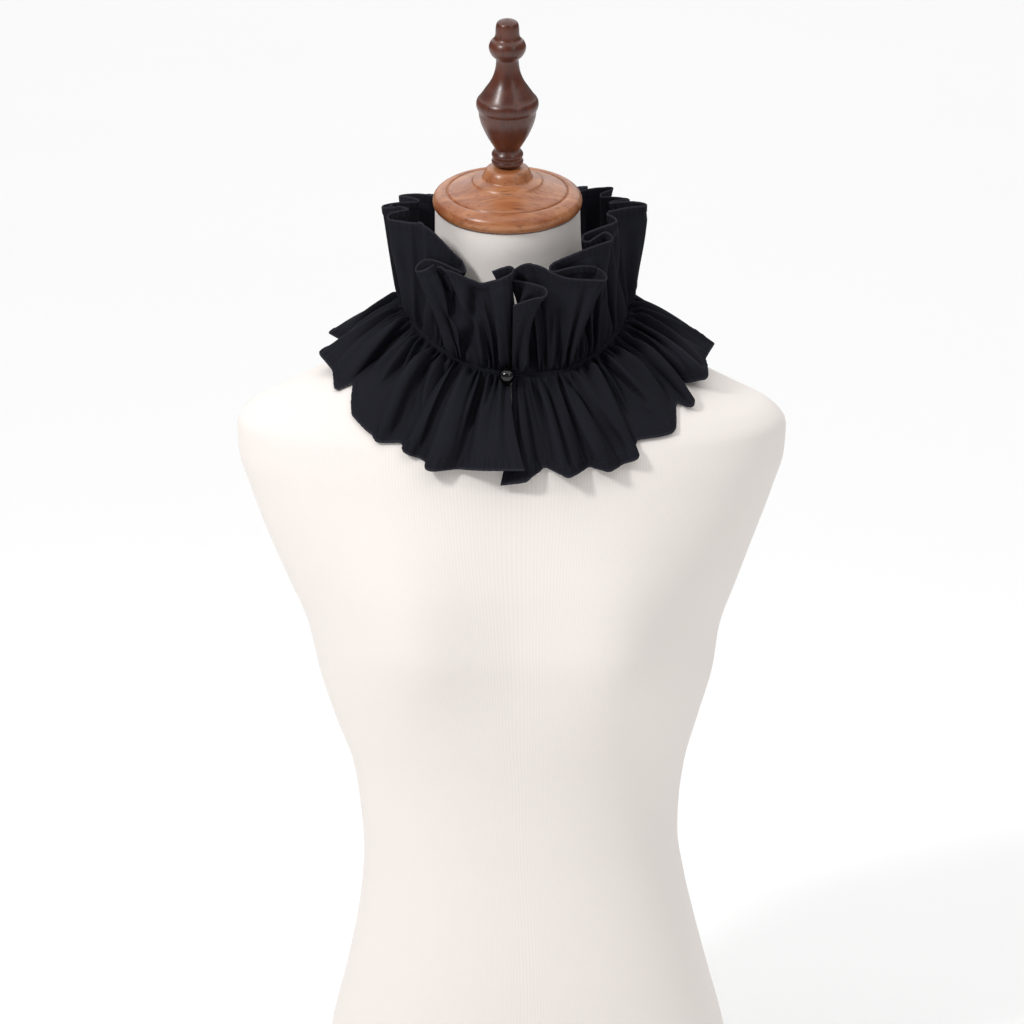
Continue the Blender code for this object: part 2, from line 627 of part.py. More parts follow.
def build_closure(gloss, cord):
    """The ball button on its shank, and the loop that runs from the band's other end round the shank."""
    x, z = BUTTON_AT
    face_y = SEAM_MIDDLE_Y - SEAM_HALF_DEPTH - BAND_WALL / 2 - SEAM_GAP
    neck = math.asin(SHANK_RADIUS / BUTTON_RADIUS)
    centre = BUTTON_STANDS_OFF + BUTTON_RADIUS * math.cos(neck)
    profile = [(0.0, 0.0), (SHANK_RADIUS, 0.0)]
    for k in range(BALL_RINGS):
        angle = neck + (math.pi - neck) * k / BALL_RINGS
        profile.append((BUTTON_RADIUS * math.sin(angle), centre - BUTTON_RADIUS * math.cos(angle)))
    profile.append((0.0, centre + BUTTON_RADIUS))
    points, faces = turned(profile, BUTTON_COLUMNS)
    button = add_mesh("button", points, faces, gloss)
    face_out(button)
    button.matrix_world = Matrix.Translation(Vector((x, face_y, z)) * MM) @ Matrix.Rotation(
        math.radians(90), 4, "X"
    )
    radius = SHANK_RADIUS + LOOP_CORD_RADIUS + SEAM_GAP
    on_band = face_y - LOOP_CORD_RADIUS
    on_gathers = SEAM_MIDDLE_Y - SEAM_HALF_DEPTH - CLOTH_WALL / 2 - GATHER_DEPTH - SEAM_GAP - LOOP_CORD_RADIUS
    root = x + radius + LOOP_REACH_RIGHT
    route = [(root, on_band, z - LOOP_ROOT_SPREAD), (x + radius, on_band, z - LOOP_ROOT_SPREAD)]
    for k in range(LOOP_POINTS + 1):
        angle = -LOOP_HALF_MOUTH - 2 * (math.pi - LOOP_HALF_MOUTH) * k / LOOP_POINTS
        route.append((x + radius * math.cos(angle), on_gathers, z + radius * math.sin(angle)))
    route.extend((px, py, 2 * z - pz) for px, py, pz in route[1::-1])
    curve = bpy.data.curves.new("button_loop", "CURVE")
    curve.dimensions = "3D"
    curve.bevel_depth = LOOP_CORD_RADIUS * MM
    curve.bevel_resolution = 2
    curve.use_fill_caps = True
    spline = curve.splines.new("POLY")
    spline.points.add(len(route) - 1)
    for point, place in zip(spline.points, route):
        point.co = (*(p * MM for p in place), 1.0)
    curve.materials.append(cord)
    loop = bpy.data.objects.new("button_loop", curve)
    bpy.context.scene.collection.objects.link(loop)


def main():
    clear_scene()
    cloth = paint("black_cotton", BLACK_COTTON)
    tree = build_form(paint("ivory_cover", IVORY_COVER), paint("turned_wood", TURNED_WOOD))
    build_frills(cloth, tree)
    build_band(cloth, tree)
    build_closure(paint("black_gloss", BLACK_GLOSS), paint("black_cord", BLACK_CORD))


main()
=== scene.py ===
# %% [markdown]
# # A gathered ruff collar on a limbless dress form
#
# The real collar is two long strips of black cotton, each gathered to less than half its length and sewn
# to a narrow neck band. One strip stands up round the neck and the other falls over the shoulders. A ball
# button in a cord loop closes the front. A covered torso with a turned wooden cap and finial wears it.
#
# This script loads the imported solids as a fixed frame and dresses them. Sizes are in millimetres in the
# tables, and one factor turns them to metres. +Z is up, the front faces -Y, and a turn round the neck is in
# degrees from the front, by -X, to the back and on.

import math
from collections import namedtuple

import bpy
import numpy as np
from mathutils import Matrix, Vector
from mathutils.bvhtree import BVHTree


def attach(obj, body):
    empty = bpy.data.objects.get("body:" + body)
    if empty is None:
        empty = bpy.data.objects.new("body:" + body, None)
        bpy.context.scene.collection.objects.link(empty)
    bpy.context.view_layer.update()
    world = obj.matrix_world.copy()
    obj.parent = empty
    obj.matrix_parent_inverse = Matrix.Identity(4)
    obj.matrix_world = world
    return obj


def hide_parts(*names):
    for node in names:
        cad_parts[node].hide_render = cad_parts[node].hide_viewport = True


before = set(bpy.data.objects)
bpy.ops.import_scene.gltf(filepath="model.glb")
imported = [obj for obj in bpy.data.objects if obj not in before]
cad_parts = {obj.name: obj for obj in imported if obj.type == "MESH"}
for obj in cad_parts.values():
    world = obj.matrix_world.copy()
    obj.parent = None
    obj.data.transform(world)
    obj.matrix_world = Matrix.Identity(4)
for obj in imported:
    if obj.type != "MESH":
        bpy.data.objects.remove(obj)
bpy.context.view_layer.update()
MM = 0.001

# %% [markdown]
# ## The camera
#
# The photograph looks slightly down on the collar from straight in front, from far enough away that the
# shoulders hardly widen. A long lens three metres off gives the same flat perspective. The camera is made
# first, so that every later step can be judged in the photograph's own framing.

# %% Place the camera
VIEW_DOWN = math.radians(12.0)
VIEW_DISTANCE = 3.0
VIEW_WIDTH = 0.717
VIEW_TARGET = Vector((0.0003, 0.0, 0.4325))
SENSOR_WIDTH = 36.0

camera_data = bpy.data.cameras.new("camera")
camera_data.sensor_width = SENSOR_WIDTH
camera_data.lens = SENSOR_WIDTH * VIEW_DISTANCE / VIEW_WIDTH
camera = bpy.data.objects.new("camera", camera_data)
bpy.context.scene.collection.objects.link(camera)
towards_camera = Vector((0, -math.cos(VIEW_DOWN), math.sin(VIEW_DOWN)))
camera.location = VIEW_TARGET + towards_camera * VIEW_DISTANCE
camera.rotation_euler = (-towards_camera).to_track_quat("-Z", "Y").to_euler()
bpy.context.scene.camera = camera
print("lens", round(camera_data.lens, 1), "mm")

# %% [markdown]
# ## Helpers for colours and nodes
#
# Colours are written as the hex values that a paint chart or a colour picker shows, which are sRGB. Shaders
# work in linear light, so one function converts them. Every material here is a small node tree, and one
# function adds a node, sets it up and links what feeds it.

# %% Turn a hex colour to linear, and add a node
def linear(code):
    """A linear colour with alpha from a hex code such as "#1b1b22"."""
    parts = [int(code[i : i + 2], 16) / 255 for i in (1, 3, 5)]
    return (*[p / 12.92 if p <= 0.04045 else ((p + 0.055) / 1.055) ** 2.4 for p in parts], 1.0)


def add_node(tree, kind, inputs=None, **settings):
    """One node, with its settings, and with each input set to a value or linked to a socket."""
    made = tree.nodes.new(kind)
    for name, value in settings.items():
        setattr(made, name, value)
    for socket, value in (inputs or {}).items():
        if isinstance(value, bpy.types.NodeSocket):
            tree.links.new(value, made.inputs[socket])
        else:
            made.inputs[socket].default_value = value
    return made


def new_material(name):
    """An empty material and its node tree."""
    material = bpy.data.materials.new(name)
    material.use_nodes = True
    material.node_tree.nodes.clear()
    return material, material.node_tree


def waves_per_unit(period):
    """The Wave texture's scale that repeats its bands once in each period."""
    return 2 * math.pi / (20 * period)


print("helpers ready")

# %% [markdown]
# ## Finish: black plain-weave cotton
#
# Dyed cotton poplin is nearly black and rough, so light and shadow alone draw its folds. Its threads scatter
# a trace of light where the cloth turns away, so the shader has a faint bluish sheen over a dark base. The
# rim is a painted highlight: a paler colour where the folded edge catches light. The threads are about 0.3 mm
# apart, too fine for this view, so the weave is drawn at 0.9 mm. It runs along and across the strip by the
# piece's own UV map, which is in millimetres of cloth.

# %% Cotton for the frills and the band
WEAVE_PITCH = 0.9
WEAVE_DEPTH = 0.00004
CREPE_SIZE = 9.0
CREPE_DEPTH = 0.00025
DYE_PATCH = 70.0


def cotton_material(name, dark, light):
    material, tree = new_material(name)
    cloth = add_node(tree, "ShaderNodeUVMap", uv_map="cloth").outputs["UV"]
    across = {"Vector": cloth, "Scale": waves_per_unit(WEAVE_PITCH)}
    warp, weft = (
        add_node(tree, "ShaderNodeTexWave", across, bands_direction=way).outputs["Fac"] for way in "XY"
    )
    threads = add_node(tree, "ShaderNodeMath", {0: warp, 1: weft}, operation="MULTIPLY")
    crepe = add_node(
        tree,
        "ShaderNodeTexNoise",
        {"Vector": cloth, "Scale": 1 / CREPE_SIZE, "Detail": 3.0, "Roughness": 0.55},
    )
    dye = add_node(tree, "ShaderNodeTexNoise", {"Vector": cloth, "Scale": 1 / DYE_PATCH, "Detail": 4.0})
    colour = add_node(
        tree,
        "ShaderNodeMix",
        {"Factor": dye.outputs["Fac"], "A": linear(dark), "B": linear(light)},
        data_type="RGBA",
    )
    soft = add_node(
        tree, "ShaderNodeBump", {"Height": crepe.outputs["Fac"], "Distance": CREPE_DEPTH, "Strength": 1.0}
    )
    woven = add_node(
        tree,
        "ShaderNodeBump",
        {"Height": threads.outputs[0], "Distance": WEAVE_DEPTH, "Strength": 0.8, "Normal": soft.outputs[0]},
    )
    shader = add_node(
        tree,
        "ShaderNodeBsdfPrincipled",
        {
            "Base Color": colour.outputs["Result"],
            "Roughness": 0.72,
            "Specular IOR Level": 0.05,
            "Sheen Weight": 0.015,
            "Sheen Roughness": 0.45,
            "Sheen Tint": linear("#7c82a0"),
            "Normal": woven.outputs[0],
        },
    )
    add_node(tree, "ShaderNodeOutputMaterial", {"Surface": shader.outputs[0]})
    return material


cotton = cotton_material("dyed_cotton_poplin", "#17181d", "#202027")
thread = cotton_material("black_sewing_thread", "#1f1f25", "#28282f")
# The rim's paler cotton is a painted highlight where the folded hem catches light.
painted_rim_highlight = cotton_material("cotton_rim_painted_highlight", "#232329", "#303037")
print("made", cotton.name, thread.name, "and", painted_rim_highlight.name)

# %% [markdown]
# ## Finish: ivory rib knit
#
# The torso wears a sock of very fine cotton rib, stretched smooth. From a step away only faint upright lines
# show, with a matt, slightly warm white. The wales are about 1 mm apart. They are drawn at 1.6 mm so that
# they just show, and the UV map makes them follow the body round.

# %% Knit for the torso
WALE_PITCH = 1.6
COURSE_PITCH = 1.3
COURSE_SHARE = 0.3
WALE_DEPTH = 0.00004
COVER_MOTTLE = 90.0


def knit_material():
    material, tree = new_material("fine_rib_knit")
    cover = add_node(tree, "ShaderNodeUVMap", uv_map="cloth").outputs["UV"]
    wales, courses = (
        add_node(
            tree, "ShaderNodeTexWave", {"Vector": cover, "Scale": waves_per_unit(pitch)}, bands_direction=way
        ).outputs["Fac"]
        for pitch, way in ((WALE_PITCH, "X"), (COURSE_PITCH, "Y"))
    )
    loops = add_node(
        tree, "ShaderNodeMath", {0: courses, 1: COURSE_SHARE, 2: wales}, operation="MULTIPLY_ADD"
    )
    mottle = add_node(tree, "ShaderNodeTexNoise", {"Vector": cover, "Scale": 1 / COVER_MOTTLE, "Detail": 5.0})
    body = add_node(
        tree,
        "ShaderNodeMix",
        {"Factor": mottle.outputs["Fac"], "A": linear("#efe8e3"), "B": linear("#f1ebe7")},
        data_type="RGBA",
    )
    lined = add_node(
        tree,
        "ShaderNodeMix",
        {"Factor": wales, "A": linear("#ece5e0"), "B": body.outputs["Result"]},
        data_type="RGBA",
    )
    bump = add_node(
        tree, "ShaderNodeBump", {"Height": loops.outputs[0], "Distance": WALE_DEPTH, "Strength": 0.7}
    )
    shader = add_node(
        tree,
        "ShaderNodeBsdfPrincipled",
        {
            "Base Color": lined.outputs["Result"],
            "Roughness": 0.85,
            "Specular IOR Level": 0.25,
            "Sheen Weight": 0.08,
            "Normal": bump.outputs[0],
        },
    )
    add_node(tree, "ShaderNodeOutputMaterial", {"Surface": shader.outputs[0]})
    return material


knit = knit_material()
print("made", knit.name)

# %% [markdown]
# ## Finish: stained and varnished wood
#
# Cap and finial are turned from a stained hardwood such as rubberwood or oak, then varnished to a satin. The
# cap is cut from a board, so its grain runs level across it. The finial is cut from a square along the
# grain, so its streaks run up its length. One function makes both: the Mapping node turns the pattern
# to the leaning axis, and stretches the noise along the grain. Dark flecks are open pores that hold stain.

# %% Wood with its grain in a given direction
CAP_CENTRE = (-2.8, -12.0, 654.4)
CAP_LEAN = 14.4
GRAIN_STRETCH = 9.0
FIGURE_SIZE = 16.0
PORE_SIZE = 1.3
PORE_DEPTH = 0.00008
PORE_STAIN = 0.55


def wood_material(name, along, dark, middle, light):
    """Turned wood: along is 0 for grain across the cap's axis and 2 for grain up the axis."""
    material, tree = new_material(name)
    place = add_node(tree, "ShaderNodeTexCoord").outputs["Object"]
    settings = {"Vector": place, "Rotation": (math.radians(-CAP_LEAN), 0, 0)}
    upright = add_node(tree, "ShaderNodeMapping", settings, vector_type="POINT").outputs[0]
    scale = [1 / MM] * 3
    scale[along] /= GRAIN_STRETCH
    grain = add_node(tree, "ShaderNodeMapping", {"Vector": upright, "Scale": scale}).outputs[0]
    figure = add_node(
        tree,
        "ShaderNodeTexNoise",
        {"Vector": grain, "Scale": 1 / FIGURE_SIZE, "Detail": 6.0, "Distortion": 0.8},
    )
    pores = add_node(tree, "ShaderNodeTexNoise", {"Vector": grain, "Scale": 1 / PORE_SIZE, "Detail": 2.0})
    broad = add_node(
        tree, "ShaderNodeMapRange", {"Value": figure.outputs["Fac"], "From Min": 0.36, "From Max": 0.64}
    )
    flecks = add_node(
        tree, "ShaderNodeMapRange", {"Value": pores.outputs["Fac"], "From Min": 0.56, "From Max": 0.68}
    )
    base = add_node(
        tree,
        "ShaderNodeMix",
        {"Factor": broad.outputs[0], "A": linear(middle), "B": linear(light)},
        data_type="RGBA",
    )
    stain = add_node(tree, "ShaderNodeMath", {0: flecks.outputs[0], 1: PORE_STAIN}, operation="MULTIPLY")
    grained = add_node(
        tree,
        "ShaderNodeMix",
        {"Factor": stain.outputs[0], "A": base.outputs["Result"], "B": linear(dark)},
        data_type="RGBA",
    )
    worn = add_node(
        tree, "ShaderNodeMapRange", {"Value": figure.outputs["Fac"], "To Min": 0.30, "To Max": 0.44}
    )
    bump = add_node(
        tree, "ShaderNodeBump", {"Height": pores.outputs["Fac"], "Distance": PORE_DEPTH, "Strength": 0.5}
    )
    shader = add_node(
        tree,
        "ShaderNodeBsdfPrincipled",
        {
            "Base Color": grained.outputs["Result"],
            "Roughness": worn.outputs[0],
            "Specular IOR Level": 0.5,
            "Coat Weight": 0.25,
            "Coat Roughness": 0.22,
            "Normal": bump.outputs[0],
        },
    )
    add_node(tree, "ShaderNodeOutputMaterial", {"Surface": shader.outputs[0]})
    return material


cap_wood = wood_material("varnished_board_wood", 0, "#4f230f", "#8a4a24", "#b3764c")
finial_wood = wood_material("varnished_spindle_wood", 2, "#1d0a05", "#451a0a", "#5c2913")
print("made", cap_wood.name, "and", finial_wood.name)

# %% [markdown]
# ## Finish: polished black button
#
# The ball is moulded resin with a hard polish. It shows almost nothing of its own but the studio lights, so
# it is plain black with a low roughness, and a trace of unevenness keeps the highlight from looking drawn.

# %% Resin for the button
HAZE_PER_METRE = 600.0


def resin_material():
    material, tree = new_material("polished_black_resin")
    place = add_node(tree, "ShaderNodeTexCoord").outputs["Object"]
    haze = add_node(tree, "ShaderNodeTexNoise", {"Vector": place, "Scale": HAZE_PER_METRE, "Detail": 2.0})
    rough = add_node(
        tree, "ShaderNodeMapRange", {"Value": haze.outputs["Fac"], "To Min": 0.07, "To Max": 0.16}
    )
    shader = add_node(
        tree,
        "ShaderNodeBsdfPrincipled",
        {"Base Color": linear("#08080a"), "Roughness": rough.outputs[0], "IOR": 1.5},
    )
    add_node(tree, "ShaderNodeOutputMaterial", {"Surface": shader.outputs[0]})
    return material


resin = resin_material()
print("made", resin.name)

# %% [markdown]
# ## Making a piece
#
# Every finished piece is a plain mesh in metres whose object sits at the origin. One function makes it from
# points in millimetres, shades it smooth, and lets it ride on the part's one body. Another turns whatever a
# modifier makes into such a plain mesh, because the modifier has to be gone before the piece is handed over.

# %% Functions that make and hand over a piece
def make_object(name, points, faces, material, edges=()):
    """An object with a mesh from points in millimetres."""
    mesh = bpy.data.meshes.new(name)
    mesh.from_pydata((np.asarray(points) * MM).tolist(), edges, faces)
    mesh.shade_smooth()
    mesh.materials.append(material)
    made = bpy.data.objects.new(name, mesh)
    bpy.context.scene.collection.objects.link(made)
    return made


def path_edges(points):
    """The edges that join points in their order."""
    return [(i, i + 1) for i in range(len(points) - 1)]


def bake_modifiers(made):
    """Replaces an object's mesh by what its modifiers make of it, and removes them."""
    graph = bpy.context.evaluated_depsgraph_get()
    mesh = bpy.data.meshes.new_from_object(made.evaluated_get(graph))
    made.modifiers.clear()
    made.data = mesh
    return made


def hand_over(made, slot, *nodes):
    """The piece rides on the body and stands for those solids; the slot is not used."""
    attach(made, "root")
    if nodes:
        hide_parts(*nodes)
    print(made.name, len(made.data.polygons), "faces")


print("piece functions ready")

# %% [markdown]
# ## The torso
#
# A dress form is a padded shell with a stretched cover, so its shape is one smooth skin. Lofting it through
# a short table of sections keeps every width and depth a readable number. A cubic curve that never
# overshoots runs through the table, so extra rings add smoothness without adding bulges. Each section is a
# superellipse, squarer over the body and round at the neck, and the front carries two low soft swellings.

# %% Table of the torso's sections
Section = namedtuple("Section", "side_z front_z back_z half_width front back shift")
FORM_SECTIONS = (
    Section(0, 0, 0, 148.5, 98.5, 117, 12),
    Section(25, 25, 25, 146, 99, 117, 12),
    Section(60, 60, 60, 140, 98.5, 113, 11.5),
    Section(100, 100, 100, 129.5, 96, 104, 11),
    Section(140, 140, 140, 120, 91.5, 91.5, 10),
    Section(170, 170, 170, 114.5, 88, 84, 8.5),
    Section(200, 200, 200, 111.5, 86, 80, 6.5),
    Section(225, 225, 225, 112.8, 86.5, 80, 5.5),
    Section(255, 255, 255, 117, 90, 83, 5),
    Section(290, 290, 290, 128, 98, 88, 3.5),
    Section(325, 325, 325, 138.5, 104, 94, 3),
    Section(355, 355, 355, 144, 109, 98, 2),
    Section(390, 390, 390, 157.5, 109, 100, 1),
    Section(425, 424, 425, 171.5, 105, 101.5, 0),
    Section(455, 452, 453, 182.5, 99.5, 102, 0),
    Section(480, 476, 478, 190, 95, 101, 0),
    Section(498, 492, 495, 191, 90.5, 99, 0),
    Section(510, 502, 508, 182, 86, 96.5, 0),
    Section(520, 511, 521, 162, 81.5, 93, 0),
    Section(531, 520, 535, 138, 77, 88.5, 0),
    Section(541, 529, 548, 113, 72.5, 83, 0),
    Section(550, 537, 560, 93, 68, 77, 0),
    Section(561, 546, 572, 76, 63.5, 70, -0.5),
    Section(573, 555, 585, 64.5, 59, 63, -1),
    Section(587, 567, 600, 57, 55, 55.5, -1.5),
    Section(604, 584, 618, 52.5, 52, 48, -2),
    Section(626, 608, 640, 50.5, 52.5, 41.5, -2.5),
    Section(648.3, 636.4, 660.2, 50, 56.9, 36.1, -2.8),
)
FORM_COLUMNS = 220
FORM_ROWS = 190
TORSO_SQUARENESS = 2.35
NECK_SQUARENESS = 2.0
SQUARE_BELOW_Z = 500.0
ROUND_ABOVE_Z = 560.0
BUST_APEX_X = 76.0
BUST_APEX_Z = 352.0
BUST_OUT = 17.0
BUST_SPREAD_X = 44.0
BUST_SPREAD_UP = 72.0
BUST_SPREAD_DOWN = 46.0
BUST_FRONT_POWER = 0.6
COVER_ROUND = 880.0
EDGE_ANGLE = math.radians(50)
print(len(FORM_SECTIONS), "sections")

# %% Loft the torso through its sections
def smooth_through(at, values, wanted):
    """Values at the wanted places on a curve through the given ones that never overshoots them."""
    at, values = np.asarray(at, float), np.asarray(values, float)
    step = np.diff(at)
    slope = np.diff(values) / step
    tangent = np.zeros(len(values))
    tangent[0], tangent[-1] = slope[0], slope[-1]
    weight_a, weight_b = 2 * step[1:] + step[:-1], step[1:] + 2 * step[:-1]
    steady = slope[:-1] * slope[1:] > 0
    tangent[1:-1][steady] = (weight_a + weight_b)[steady] / (
        weight_a[steady] / slope[:-1][steady] + weight_b[steady] / slope[1:][steady]
    )
    i = np.clip(np.searchsorted(at, wanted) - 1, 0, len(step) - 1)
    t = (wanted - at[i]) / step[i]
    return (
        (1 + 2 * t) * (1 - t) ** 2 * values[i]
        + t * (1 - t) ** 2 * step[i] * tangent[i]
        + t * t * (3 - 2 * t) * values[i + 1]
        + t * t * (t - 1) * step[i] * tangent[i + 1]
    )


def form_rings(columns, rows):
    """Rings of points up the torso cover, front first, as an array of rows by columns by 3."""
    table = np.array(FORM_SECTIONS, float)
    along = np.concatenate([[0], np.cumsum(np.hypot(*np.diff(table[:, [0, 3]], axis=0).T))])
    wanted = np.linspace(0, along[-1], rows)
    side_z, front_z, back_z, half_width, front, back, shift = (
        smooth_through(along, column, wanted)[:, None] for column in table.T
    )
    turn = np.linspace(0, 2 * math.pi, columns, endpoint=False)[None, :]
    sine, cosine = np.sin(turn), np.cos(turn)
    roundness = np.clip((side_z - SQUARE_BELOW_Z) / (ROUND_ABOVE_Z - SQUARE_BELOW_Z), 0, 1)
    power = 2 / (TORSO_SQUARENESS + (NECK_SQUARENESS - TORSO_SQUARENESS) * roundness)
    x = -half_width * np.sign(sine) * np.abs(sine) ** power
    y = -np.where(cosine > 0, front, back) * np.sign(cosine) * np.abs(cosine) ** power
    middle = (front_z + back_z) / 2
    z = middle - (back_z - front_z) / 2 * cosine + (side_z - middle) * sine**2
    spread_z = np.where(z > BUST_APEX_Z, BUST_SPREAD_UP, BUST_SPREAD_DOWN)
    rise = np.exp(-(((z - BUST_APEX_Z) / spread_z) ** 2))
    cups = np.exp(-(((np.abs(x) - BUST_APEX_X) / BUST_SPREAD_X) ** 2))
    y = y - BUST_OUT * rise * cups * np.clip(cosine, 0, 1) ** BUST_FRONT_POWER
    return np.stack([x + shift, y, z], axis=2)


def grid_faces(rows, columns, closed):
    """Faces between neighbouring rows of points, round a closed ring or along an open strip."""
    r, c = np.meshgrid(np.arange(rows - 1), np.arange(columns if closed else columns - 1), indexing="ij")
    low, high = r * columns, (r + 1) * columns
    d = (c + 1) % columns
    return np.stack([low + c, low + d, high + d, high + c], axis=-1).reshape(-1, 4)


def set_uv(made, uv):
    """Writes the UV map "cloth" from one pair of millimetres for each point."""
    mesh = made.data
    corner_points = np.empty(len(mesh.loops), np.int32)
    mesh.loops.foreach_get("vertex_index", corner_points)
    layer = mesh.uv_layers.new(name="cloth")
    layer.data.foreach_set("uv", np.asarray(uv, np.float32)[corner_points].ravel())


def build_torso():
    rings = form_rings(FORM_COLUMNS, FORM_ROWS)
    count = FORM_ROWS * FORM_COLUMNS
    faces = grid_faces(FORM_ROWS, FORM_COLUMNS, True)[:, ::-1].tolist()
    faces.append(list(range(FORM_COLUMNS)))
    faces.append(list(range(count - 1, count - 1 - FORM_COLUMNS, -1)))
    made = make_object("torso_cover", rings.reshape(-1, 3), faces, knit)
    mirrored = 1 - np.abs(2 * np.arange(FORM_COLUMNS) / FORM_COLUMNS - 1)
    uv = np.stack(np.broadcast_arrays(mirrored[None, :] * COVER_ROUND / 2, rings[:, :, 2]), axis=-1)
    set_uv(made, uv.reshape(-1, 2))
    made.data.set_sharp_from_angle(angle=EDGE_ANGLE)
    return made


torso = build_torso()
hand_over(torso, "knit_cover", "form_torso")
torso_tree = BVHTree.FromPolygons(
    [tuple(v.co / MM) for v in torso.data.vertices], [tuple(p.vertices) for p in torso.data.polygons]
)

# %% [markdown]
# ## The turned cap and finial
#
# Work from a lathe is a profile swung round an axis. The profile's corners are listed, softened by
# short curves where the tool leaves a round edge, and a Screw modifier swings them. The axis leans to the
# front, as the neck does, so the finished mesh is turned and moved into place and its object stays at the
# origin. The alternative, stacking cylinders, would leave hard steps that no lathe makes.

# %% Turn the two profiles
CAP_PROFILE = (
    (0.0, -6.0),
    (48.5, -6.0),
    (51.2, -3.0),
    (51.6, 0.5),
    (50.2, 4.0),
    (46.0, 6.9),
    (42.6, 7.2),
    (41.5, 5.4),
    (40.4, 7.9),
    (33.0, 9.6),
    (26.0, 12.2),
    (24.2, 13.6),
    (23.4, 15.0),
    (19.0, 15.8),
    (17.3, 16.8),
    (16.7, 18.8),
    (15.2, 22.4),
    (12.6, 24.8),
    (0.0, 25.7),
)
FINIAL_PROFILE = (
    (0.0, 26.0),
    (9.6, 26.0),
    (11.3, 28.6),
    (9.9, 31.0),
    (11.2, 33.7),
    (9.6, 36.4),
    (8.3, 37.5),
    (10.2, 40.7),
    (13.5, 46.1),
    (16.1, 51.5),
    (18.3, 56.9),
    (19.6, 62.2),
    (19.7, 65.4),
    (21.0, 67.7),
    (21.5, 70.7),
    (20.6, 73.8),
    (18.4, 76.1),
    (15.2, 81.0),
    (11.6, 86.1),
    (9.3, 91.3),
    (8.0, 96.8),
    (7.5, 103.2),
    (10.6, 104.9),
    (13.2, 110.6),
    (11.4, 115.6),
    (8.2, 117.7),
    (8.0, 126.8),
    (6.2, 129.7),
    (0.0, 131.0),
)
TURNING_STEPS = 144
CORNER_CUTS = 3
ON_AXIS = 1e-6
cap_place = Matrix.Translation(Vector(CAP_CENTRE) * MM) @ Matrix.Rotation(math.radians(CAP_LEAN), 4, "X")


def round_corners(profile):
    """The profile with each corner cut again and again, which rounds it without moving its ends."""
    line = [np.array(p, float) for p in profile]
    for _ in range(CORNER_CUTS):
        cut = [line[0]]
        for a, b in zip(line, line[1:]):
            cut.extend([a * 0.75 + b * 0.25, a * 0.25 + b * 0.75])
        line = [*cut, line[-1]]
    return np.array(line)


def turned_piece(name, line, steps, material, place):
    """A line of radius and height, lowest first, swung round the upright axis and moved into place."""
    radius, height = line[::-1].T
    radius = np.where(radius < ON_AXIS, 0, radius)
    points = np.stack([radius, 0 * radius, height], axis=1)
    made = make_object(name, points, [], material, path_edges(points))
    swing = made.modifiers.new("swing", "SCREW")
    swing.steps = swing.render_steps = steps
    swing.use_merge_vertices = True
    swing.merge_threshold = ON_AXIS
    bake_modifiers(made)
    made.data.transform(place)
    made.data.shade_smooth()
    return made


cap = turned_piece("turned_cap", round_corners(CAP_PROFILE), TURNING_STEPS, cap_wood, cap_place)
hand_over(cap, "turned_wood", "form_neck_cap")
finial = turned_piece("turned_finial", round_corners(FINIAL_PROFILE), TURNING_STEPS, finial_wood, cap_place)
hand_over(finial, "turned_wood", "form_finial")

# %% [markdown]
# ## The frills' main shape
#
# A gathered strip is a ruled surface between two curves: the short seam round the neck and the long free
# edge. The free edge is drawn from above as one line that winds round posts, a post for each crest and each
# trough, because a bent strip keeps its length and rolls round its bends, which a sine wave doesn't. The
# tables below name each bend once. Cloth simulation could find such folds too, but not where the photograph
# has them, and the solids need the same ones.

# %% Tables of the seam, the frills' edges and their folds
SEAM_LAP = 1.2
BAND_HEIGHT = 5.0
SEAM_LEFT_WIDTH = 73.0
SEAM_RIGHT_WIDTH = 80.0
SEAM_HALF_DEPTH = 69.5
SEAM_MIDDLE_Y = 2.0
SEAM_HEIGHT = 570.0
SEAM_FRONT_DROP = 17.0
SEAM_SIDE_RISE = 10.0
SEAM_RIGHT_DROP = 3.0
OPENING_TURN = 1.3

STANDING_HEIGHT = 71.0
STANDING_LEFT_WIDTH = 79.5
STANDING_RIGHT_WIDTH = 82.0
STANDING_HALF_DEPTH = 78.0
STANDING_BULGE = 1.5
STANDING_EVEN_SHARE = 18 / 284
STANDING_ENDS = (-4.0, 359.6)
MOUTH_TILT = 0.5
LAP_OUT = 2.2
LAP_SHARE = 0.06

FALLING_LEFT_WIDTH = 122.0
FALLING_RIGHT_WIDTH = 130.0
FALLING_HALF_DEPTH = 105.0
FALLING_SQUARENESS = 2.5
FALLING_HEIGHT = 527.5
FALLING_FRONT_DROP = 22.5
FALLING_SIDE_RISE = 21.0
FALLING_CORNER_DROP = 14.0
FALLING_SPRING_OUT = 26.0
FALLING_SPRING_DOWN = 8.0
FRONT_SPRING_OUT = 16.0
FRONT_SPRING_DOWN = 14.0
FRONT_SPREAD = 15.0
FALLING_EVEN_SHARE = 18 / 264
FALLING_ENDS = (0.5, 359.5)

